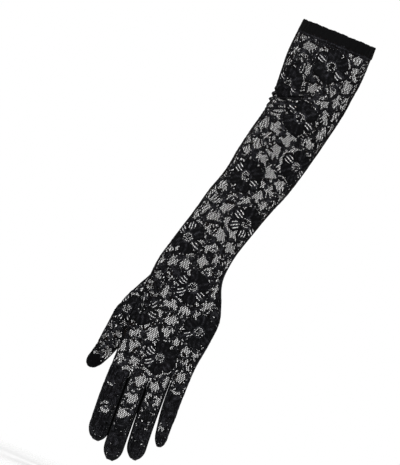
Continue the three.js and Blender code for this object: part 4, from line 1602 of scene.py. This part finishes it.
class TrimProperties(bpy.types.PropertyGroup):
    knit_colour: bpy.props.FloatVectorProperty(
        name="Knit colour", description="Dye of the hem band and the finger strips",
        subtype="COLOR", size=3, default=(0.0034, 0.0034, 0.0038), min=0, max=1)
    rib_pitch: bpy.props.FloatProperty(
        name="Rib pitch", description="Distance between the knit's columns of stitches",
        default=0.001, min=0.0004, max=0.003, unit="LENGTH")
    seam_radius: bpy.props.FloatProperty(
        name="Seam radius", description="Half the width of the raised seams",
        default=0.0006, min=0.0002, max=0.002, unit="LENGTH")
    stitch_pitch: bpy.props.FloatProperty(
        name="Stitch pitch", description="Distance between the seams' stitches",
        default=0.0026, min=0.001, max=0.01, unit="LENGTH")
    # Light grey of the stitches: a painted highlight that stands in for their glints
    stitch_glint_colour: bpy.props.FloatVectorProperty(
        name="Stitch colour", description="Colour of the sewing thread, which catches the light",
        subtype="COLOR", size=3, default=(0.28, 0.28, 0.3), min=0, max=1)


class StageProperties(bpy.types.PropertyGroup):
    lens: bpy.props.FloatProperty(
        name="Lens", description="Focal length of the camera", default=1.0, min=0.05, max=2,
        subtype="DISTANCE_CAMERA", unit="CAMERA")
    floor_colour: bpy.props.FloatVectorProperty(
        name="Floor colour", description="Pale floor below the glove",
        subtype="COLOR", size=3, default=(0.9, 0.9, 0.9), min=0, max=1)
    sky: bpy.props.FloatProperty(
        name="Backdrop light", description="Strength of the plain white surroundings",
        default=0.22, min=0, max=5)
    key: bpy.props.FloatProperty(
        name="Key light", description="Power of the large soft light", default=17, min=0, max=500,
        unit="POWER")


class GLOVE_OT_lace_panels(bpy.types.Operator):
    """Lays the floral net lace on the back and on the palm of the glove"""
    bl_idname = "glove.lace_panels"
    bl_label = "Lace panels"

    def execute(self, context):
        lace = context.scene.glove_lace
        thumb = surfaces()["thumb"]
        for name, net_shift in (("back", 0.0), ("palm", lace.net_pitch * TO_MM / 2)):
            panel = surfaces()[name]
            pattern = panel_pattern(panel, lace, net_shift, name == "palm")
            piece = lay(f"lace_{name}", [(pattern, panel)], lace_materials(lace), thumb.holds)
            settle(piece, "lace", *[f"{part}_{name}" for part in PANEL_PARTS])
            declare_panel(panel)
        return {"FINISHED"}


def declare_panel(panel):
    """Works out a panel's flat area and width from its own charts, and its length, and keeps none
    of them.
    """
    area, width = 0.0, 0.0
    for chart in (panel.main, *panel.fingers):
        widths = chart.high - chart.low
        area += float(np.sum((widths[1:] + widths[:-1]) / 2 * np.diff(chart.downs)))
        width = max(width, float(widths.max()))
    length = FINGERS[1].tip_down - HEM_WIDTH
    length * MM


class GLOVE_OT_thumb(bpy.types.Operator):
    """Lays the lace on the thumb, with its flower at the base and close lace at its tip"""
    bl_idname = "glove.thumb"
    bl_label = "Thumb lace"

    def execute(self, context):
        lace = context.scene.glove_lace
        back, palm = surfaces()["thumb"], surfaces()["thumb_palm"]
        layers = [(thumb_pattern(back, lace, 0.0, False), back),
                  (thumb_pattern(palm, lace, lace.net_pitch * TO_MM / 2, True), palm)]
        piece = lay("lace_thumb", layers, lace_materials(lace), within_hand)
        settle(piece, "lace", "thumb")
        chart = back.chart
        widths = 2 * (chart.high - chart.low)
        shown = chart.downs > THUMB_HIDDEN
        area = float(np.sum(widths[shown][1:] * np.diff(chart.downs[shown])))
        return {"FINISHED"}


def thumb_pattern(thumb, lace, net_shift, is_palm):
    """The drawing of one half of the thumb."""
    rng = np.random.default_rng(THUMB_SEED)
    pattern, sizes = Pattern(), LaceSizes(lace)
    radius = sizes.flower_radius * THUMB_FLOWER_SHARE
    centre = THUMB_FLOWER_SPOT
    draw_flower(pattern, centre, math.radians(-90), radius, THUMB_FLOWER, is_palm, rng)
    low, high = THUMB_FLAT

    def allowed(spots):
        distance = np.linalg.norm(spots - np.array(centre), axis=1)
        return distance > radius + sizes.cell_size * FLOWER_CLEARANCE

    seeds = np.concatenate([
        scattered(rng, low, high, sizes.cell_size * THUMB_CELLS, allowed, 60),
        cell_ring(centre, radius),
        np.array([centre]),
    ])
    fullness = PALM_FULLNESS if is_palm else 1.0
    draw_sprigs(pattern, cell_walls(seeds), [centre], radius, rng, sizes, fullness)
    chart = thumb.chart
    downs = np.append(np.arange(thumb.length - THUMB_CLOSE, thumb.length - 0.6, THUMB_CLOSE_ROW),
                      chart.downs[-1] - 0.01)
    left, right = chart.limits(-downs)
    steps = np.linspace(0, 1, THUMB_CLOSE_COLUMNS + 1)[None, :]
    u = mix(left[:, None], right[:, None], steps)
    fading = np.clip(1 - np.arange(len(downs)) / 3, 0, 1)[:, None]
    v = -downs[:, None] + 2.0 * np.sin(steps * 15) * fading
    pattern.close_lace(u, v, np.full(u.shape, 0.4))
    covered = drop_hidden(pattern, low, high)

    def thread(v):
        return sizes.net_thread * (1 + HAND_CLOSENESS) + 0 * v

    draw_net(pattern, low + net_shift, high, sizes.net_pitch, thread, covered, rng)
    return pattern


def hem_point(turn, inset, down):
    """A point of the hem band, with the slight waves of a knit edge and the jog at its seam."""
    side = -1 if turn < np.pi else 1
    angle = turn if side < 0 else 2 * np.pi - turn
    wobble = 0.0
    for rise, waves, start in HEM_WAVES:
        wobble += rise * math.sin(turn * waves + start)
    pucker = 0.22 * math.sin(turn * 31) + 0.18 * math.sin(turn * 47 + 2) * math.sin(down * 0.5)
    pucker += 0.16 * math.sin(turn * 73 + down * 1.1) * math.sin(down * 1.3 + turn * 9)
    middle = HEM_WIDTH * 0.5
    lower, upper = max(down - middle, 0) / middle, max(middle - down, 0) / middle
    place = down + wobble * (lower - TOP_WAVE_SHARE * upper)
    jog = HEM_JOG[0] * math.exp(-((angle - np.pi) / HEM_JOG[1]) ** 2)
    swell = -inset + HEM_PROUD + jog + pucker
    point = ring_points(side, np.array(angle), np.array(place), swell)
    point[1] -= side * SEAM_GAP / 2
    return point


class GLOVE_OT_hem(bpy.types.Operator):
    """Knits the plain doubled band round the arm opening"""
    bl_idname = "glove.hem"
    bl_label = "Hem band"

    def execute(self, context):
        trims = context.scene.glove_trims
        turns = np.linspace(0, 2 * np.pi, HEM_STEPS, endpoint=False)
        points = np.array([[hem_point(turn, *row) for turn in turns] for row in HEM_PROFILE])
        faces = grid_faces(len(HEM_PROFILE), HEM_STEPS, True, True)
        downs = np.array([row[1] for row in HEM_PROFILE])
        grain = np.broadcast_arrays((turns * CUFF_WIDTH / 2)[None, :], downs[:, None])
        material = knit_material("hem_knit_cloth", trims.knit_colour, trims.rib_pitch * TO_MM)
        piece = mesh_object("hem_band_knit", points.reshape(-1, 3), faces.reshape(-1, 4),
                            [material], np.stack(grain, -1).reshape(-1, 2))
        settle(piece, "hem_knit", "hem_band")
        return {"FINISHED"}


class GLOVE_OT_strips(bpy.types.Operator):
    """Knits the narrow strips that line the sides of the fingers"""
    bl_idname = "glove.strips"
    bl_label = "Finger strips"

    def execute(self, context):
        trims = context.scene.glove_trims
        material = knit_material("strip_knit_cloth", trims.knit_colour, trims.rib_pitch * TO_MM)
        names = list(FINGER_TABLE)
        for edge in range(1, len(FINGERS)):
            points, grain, size = strip_surface(FINGERS[edge - 1], FINGERS[edge])
            faces = grid_faces(*points.shape[:2])[..., [0, 3, 2, 1]]
            pair = f"{names[edge - 1]}_{names[edge]}"
            piece = mesh_object(f"strip_{pair}", points.reshape(-1, 3), faces.reshape(-1, 4),
                                [material], grain.reshape(-1, 2))
            settle(piece, "strip_knit", f"fourchette_{pair}")
            size[0] * MM
            size[1] * MM
            size[2] * MM * MM
        return {"FINISHED"}


def strip_surface(near, far):
    """The strip between two fingers as a grid, up one finger's side and down the other's."""
    shares = np.linspace(-1, 1, STRIP_COLUMNS)
    runs = []
    for finger, towards, across in ((near, 1, 1.0), (far, -1, 0.0)):
        rounding = 1 - np.sin(np.linspace(0.15, 1.27, STRIP_TIP_ROWS))
        straight = np.linspace(finger.root(across) + 4, finger.tip_down - finger.round, STRIP_ROWS)
        downs = np.append(straight, finger.tip_down - finger.round * rounding)
        ring = finger.ring(across, downs)
        angle = shares[None, :] * STRIP_ANGLE * ring["open"][:, None]
        x = ring["x"][:, None] + towards * ring["half"][:, None] * np.cos(angle)
        y = ring["y"][:, None] + ring["depth"][:, None] * np.sin(angle)
        runs.append(np.stack(np.broadcast_arrays(x, y, -downs[:, None]), -1))
    depth = half_depth(near.order) * math.sin(STRIP_ANGLE) - CLOTH_WALL
    bottoms = []
    for sway in (-STRIP_SWAY, 0.0, STRIP_SWAY):
        z = -near.root(1.0) - 0.5 * abs(sway) / STRIP_SWAY + 0 * shares
        bottoms.append(np.stack([near.right + sway + 0 * shares, CROTCH_Y + shares * depth, z], -1))
    points = np.concatenate([runs[0][::-1], np.array(bottoms), runs[1]])
    rows = np.linalg.norm(np.diff(points, axis=0), axis=2)
    columns = np.linalg.norm(np.diff(points, axis=1), axis=2)
    run = np.append(0, np.cumsum(rows[:, STRIP_COLUMNS // 2]))
    ridge = (0.1 * np.sin(shares * 14) + 0.26 * (1 - shares**2))[None, :, None]
    normal = unit(np.cross(np.gradient(points, axis=1), np.gradient(points, axis=0)))
    outside = np.zeros_like(points)
    side_rows = STRIP_ROWS + STRIP_TIP_ROWS
    outside[:side_rows + 1, :, 0], outside[-side_rows:, :, 0] = 1, -1
    facing = np.sign(np.sum(normal * outside, axis=2, keepdims=True))
    points = points + normal * facing * ridge
    grain = np.stack(np.broadcast_arrays(shares[None, :] * depth, run[:, None]), -1)
    widths = columns.sum(axis=1)
    area = float(np.sum((widths[1:] + widths[:-1]) / 2 * rows.mean(axis=1)))
    return points, grain, (float(widths.max()), float(run[-1]), area)


class GLOVE_OT_seams(bpy.types.Operator):
    """Sews the raised seams along the glove's sides, its fingers and round the thumb"""
    bl_idname = "glove.seams"
    bl_label = "Seams"

    def execute(self, context):
        trims = context.scene.glove_trims
        radius, pitch = trims.seam_radius * TO_MM, trims.stitch_pitch * TO_MM
        colour = [CORD_LIGHTNESS * part for part in trims.knit_colour]
        cord = knit_material("seam_cord", colour, 0.7)
        # The stitches' light grey and their white glints are painted highlights
        thread = thread_material("sewing_thread", trims.stitch_glint_colour, 0.5, 0.35, 0.0001)
        cords, beads = [], []
        for path, outward in seam_paths():
            cords.append(tube(path, radius, outward, squash=CORD_FLATNESS))
            beads += stitches(path, outward, pitch, radius * STITCH_LENGTH, radius * STITCH_RADIUS)
        ring, outward = thumb_seam()
        cords.append(tube(ring, radius, outward, closed=True, squash=CORD_FLATNESS))
        for name, parts, material in (
            ("seam_cords", cords, cord), ("seam_stitches", beads, thread),
        ):
            points, faces, grain = joined(parts)
            piece = mesh_object(name, points, faces, [material], grain)
            settle(piece, "strip_knit")
        return {"FINISHED"}


def seam_paths():
    """Paths and outward ways: the two sides of the glove and both edges of each strip."""
    paths = []
    for finger, column, across in ((FINGERS[0], 0, 0.0), (FINGERS[LITTLE], COLUMNS, 1.0)):
        root = finger.root(across)
        downs = np.arange(HEM_WIDTH, root, SEAM_STEP)
        upper = panel_points(-1, np.full(len(downs), float(column)), downs)
        rows = np.append(np.arange(root + 1, finger.tip_down - 2, SEAM_STEP), finger.tip_down - 0.6)
        lower = finger.points(-1, np.full(len(rows), across), rows)
        path = np.concatenate([upper, lower])
        path[:, 1] += SEAM_GAP / 2
        outward = np.zeros_like(path)
        outward[:, 0] = -1 if column == 0 else 1
        paths.append((path, outward))
    for finger in FINGERS:
        for across, is_open in ((0.0, finger.left_open), (1.0, finger.right_open)):
            if not is_open:
                continue
            for side in (-1, 1):
                rows = np.arange(finger.root(across) + 0.5, finger.tip_down - 1.5, SEAM_STEP)
                rows = np.append(rows, finger.tip_down - 0.4)
                path = finger.points(side, np.full(len(rows), across), rows)
                middle = finger.ring(across, rows)
                outward = unit(path - np.stack([middle["x"], middle["y"], -rows], -1))
                paths.append((path + outward * 0.25, outward))
    return paths


def thumb_seam():
    """The closed line where the thumb's tube leaves the hand."""
    thumb = surfaces()["thumb"]
    back = thumb.tube[:, :-1:RING_COLUMNS]
    palm = surfaces()["thumb_palm"].tube[:, :0:-RING_COLUMNS]
    path, outward = [], []
    for column in np.concatenate([back, palm], axis=1).swapaxes(0, 1):
        within = np.flatnonzero(within_hand(column))
        last = min(within[-1] if len(within) else 0, len(column) - 2)
        path.append(column[last + 1])
        outward.append(unit(column[last + 1] - thumb.line[last + 1]))
    path, outward = np.array(path), np.array(outward)
    for _ in range(SMOOTHING_ROUNDS):
        path = (np.roll(path, 1, axis=0) + 2 * path + np.roll(path, -1, axis=0)) / 4
    return path, outward


class GLOVE_OT_stage(bpy.types.Operator):
    """Sets the pale floor, the plain surroundings, the soft lights and the camera"""
    bl_idname = "glove.stage"
    bl_label = "Stage"

    def execute(self, context):
        stage = context.scene.glove_stage
        data = bpy.data.cameras.new("camera")
        data.lens = stage.lens * TO_MM
        data.clip_end = 100
        camera = bpy.data.objects.new("camera", data)
        turn = Matrix((VIEW_RIGHT, VIEW_UP, Vector((0, -1, 0)))).transposed().to_4x4()
        away = Vector((0, VIEW_HEIGHT * stage.lens * TO_MM / SENSOR, 0))
        camera.matrix_world = Matrix.Translation(AIM - away) @ turn
        context.scene.collection.objects.link(camera)
        context.scene.camera = camera
        make_world(context.scene, stage.sky)
        for name, spot, share, size in LIGHTS:
            make_light(context.scene, name, spot, stage.key * share, size)
        make_floor(context.scene, stage.floor_colour)
        return {"FINISHED"}


def make_world(scene, strength):
    world = bpy.data.worlds.new("plain_surroundings")
    world.use_nodes = True
    tree = world.node_tree
    seen = tree.nodes["Background"]
    lighting = tree.nodes.new("ShaderNodeBackground")
    for background, value in ((seen, 1.0), (lighting, strength)):
        background.inputs["Color"].default_value = (1, 1, 1, 1)
        background.inputs["Strength"].default_value = value
    path, choice = tree.nodes.new("ShaderNodeLightPath"), tree.nodes.new("ShaderNodeMixShader")
    tree.links.new(path.outputs["Is Camera Ray"], choice.inputs[0])
    tree.links.new(lighting.outputs[0], choice.inputs[1])
    tree.links.new(seen.outputs[0], choice.inputs[2])
    tree.links.new(choice.outputs[0], tree.nodes["World Output"].inputs["Surface"])
    scene.world = world
    scene.view_settings.view_transform = "Standard"


def make_light(scene, name, spot, power, size):
    data = bpy.data.lights.new(name, "AREA")
    data.shape = "DISK"
    data.size = size
    data.energy = power
    light = bpy.data.objects.new(name, data)
    light.location = Vector(spot) + AIM
    light.rotation_euler = (AIM - light.location).to_track_quat("-Z", "Y").to_euler()
    scene.collection.objects.link(light)


def make_floor(scene, colour):
    """A round pale floor whose rim fades away, so that it shows no edge and no horizon."""
    reach = np.linspace(0, FLOOR_RADIUS, FLOOR_RINGS + 1)[1:, None]
    turns = np.linspace(0, 2 * np.pi, FLOOR_SPOKES, endpoint=False)[None, :]
    x, y, z = (CAD_BOX[0][0] + CAD_BOX[1][0]) / 2, 0.0, CAD_BOX[0][2] - FLOOR_DROP
    points = np.broadcast_arrays(x + reach * np.cos(turns), y + reach * np.sin(turns), z)
    faces = grid_faces(FLOOR_RINGS, FLOOR_SPOKES, False, True).reshape(-1, 4).tolist()
    faces.append(list(range(FLOOR_SPOKES)))
    mesh = bpy.data.meshes.new("floor")
    mesh.from_pydata(np.stack(points, -1).reshape(-1, 3).tolist(), [], faces)
    finish = Finish("pale_floor")
    shifted = finish.add("ShaderNodeVectorMath", {"operation": "SUBTRACT"},
                         {0: finish.position, 1: (x, y, z)})
    distance = finish.add("ShaderNodeVectorMath", {"operation": "LENGTH"}, {0: shifted}, 1)
    fade = finish.add("ShaderNodeMapRange", {"interpolation_type": "SMOOTHSTEP"},
                      {"Value": distance, 1: FLOOR_RADIUS * FADE_FROM, 2: FLOOR_RADIUS * FADE_TO})
    tone = finish.blend(finish.noise(GRIT_SCALE), tint(colour, 0.985), tint(colour, 1.01))
    mesh.materials.append(finish.shade(Base_Color=tone, Roughness=0.9, Alpha=1 - fade))
    floor = bpy.data.objects.new("floor", mesh)
    scene.collection.objects.link(floor)


class GLOVE_PT_sidebar(bpy.types.Panel):
    """The glove's tools and sizes"""
    bl_idname = "GLOVE_PT_sidebar"
    bl_label = "Lace glove"
    bl_space_type = "VIEW_3D"
    bl_region_type = "UI"
    bl_category = "Glove"

    def draw(self, context):
        for name, group in GROUPS.items():
            box = self.layout.box()
            for size in group.__annotations__:
                box.prop(getattr(context.scene, name), size)
        for operator in OPERATORS:
            self.layout.operator(operator.bl_idname)


OPERATORS = (
    GLOVE_OT_lace_panels, GLOVE_OT_thumb, GLOVE_OT_hem, GLOVE_OT_strips, GLOVE_OT_seams,
    GLOVE_OT_stage,
)
GROUPS = {
    "glove_lace": LaceProperties, "glove_trims": TrimProperties, "glove_stage": StageProperties,
}


def register():
    for group in (*GROUPS.values(), *OPERATORS, GLOVE_PT_sidebar):
        bpy.utils.register_class(group)
    for name, group in GROUPS.items():
        setattr(bpy.types.Scene, name, bpy.props.PointerProperty(type=group))


def unregister():
    for name in GROUPS:
        delattr(bpy.types.Scene, name)
    for group in (GLOVE_PT_sidebar, *OPERATORS[::-1], *GROUPS.values()):
        bpy.utils.unregister_class(group)


def main():
    register()
    bpy.ops.glove.stage()
    bpy.ops.glove.lace_panels()
    bpy.ops.glove.thumb()
    bpy.ops.glove.hem()
    bpy.ops.glove.strips()
    bpy.ops.glove.seams()


if __name__ == "__main__":
    main()
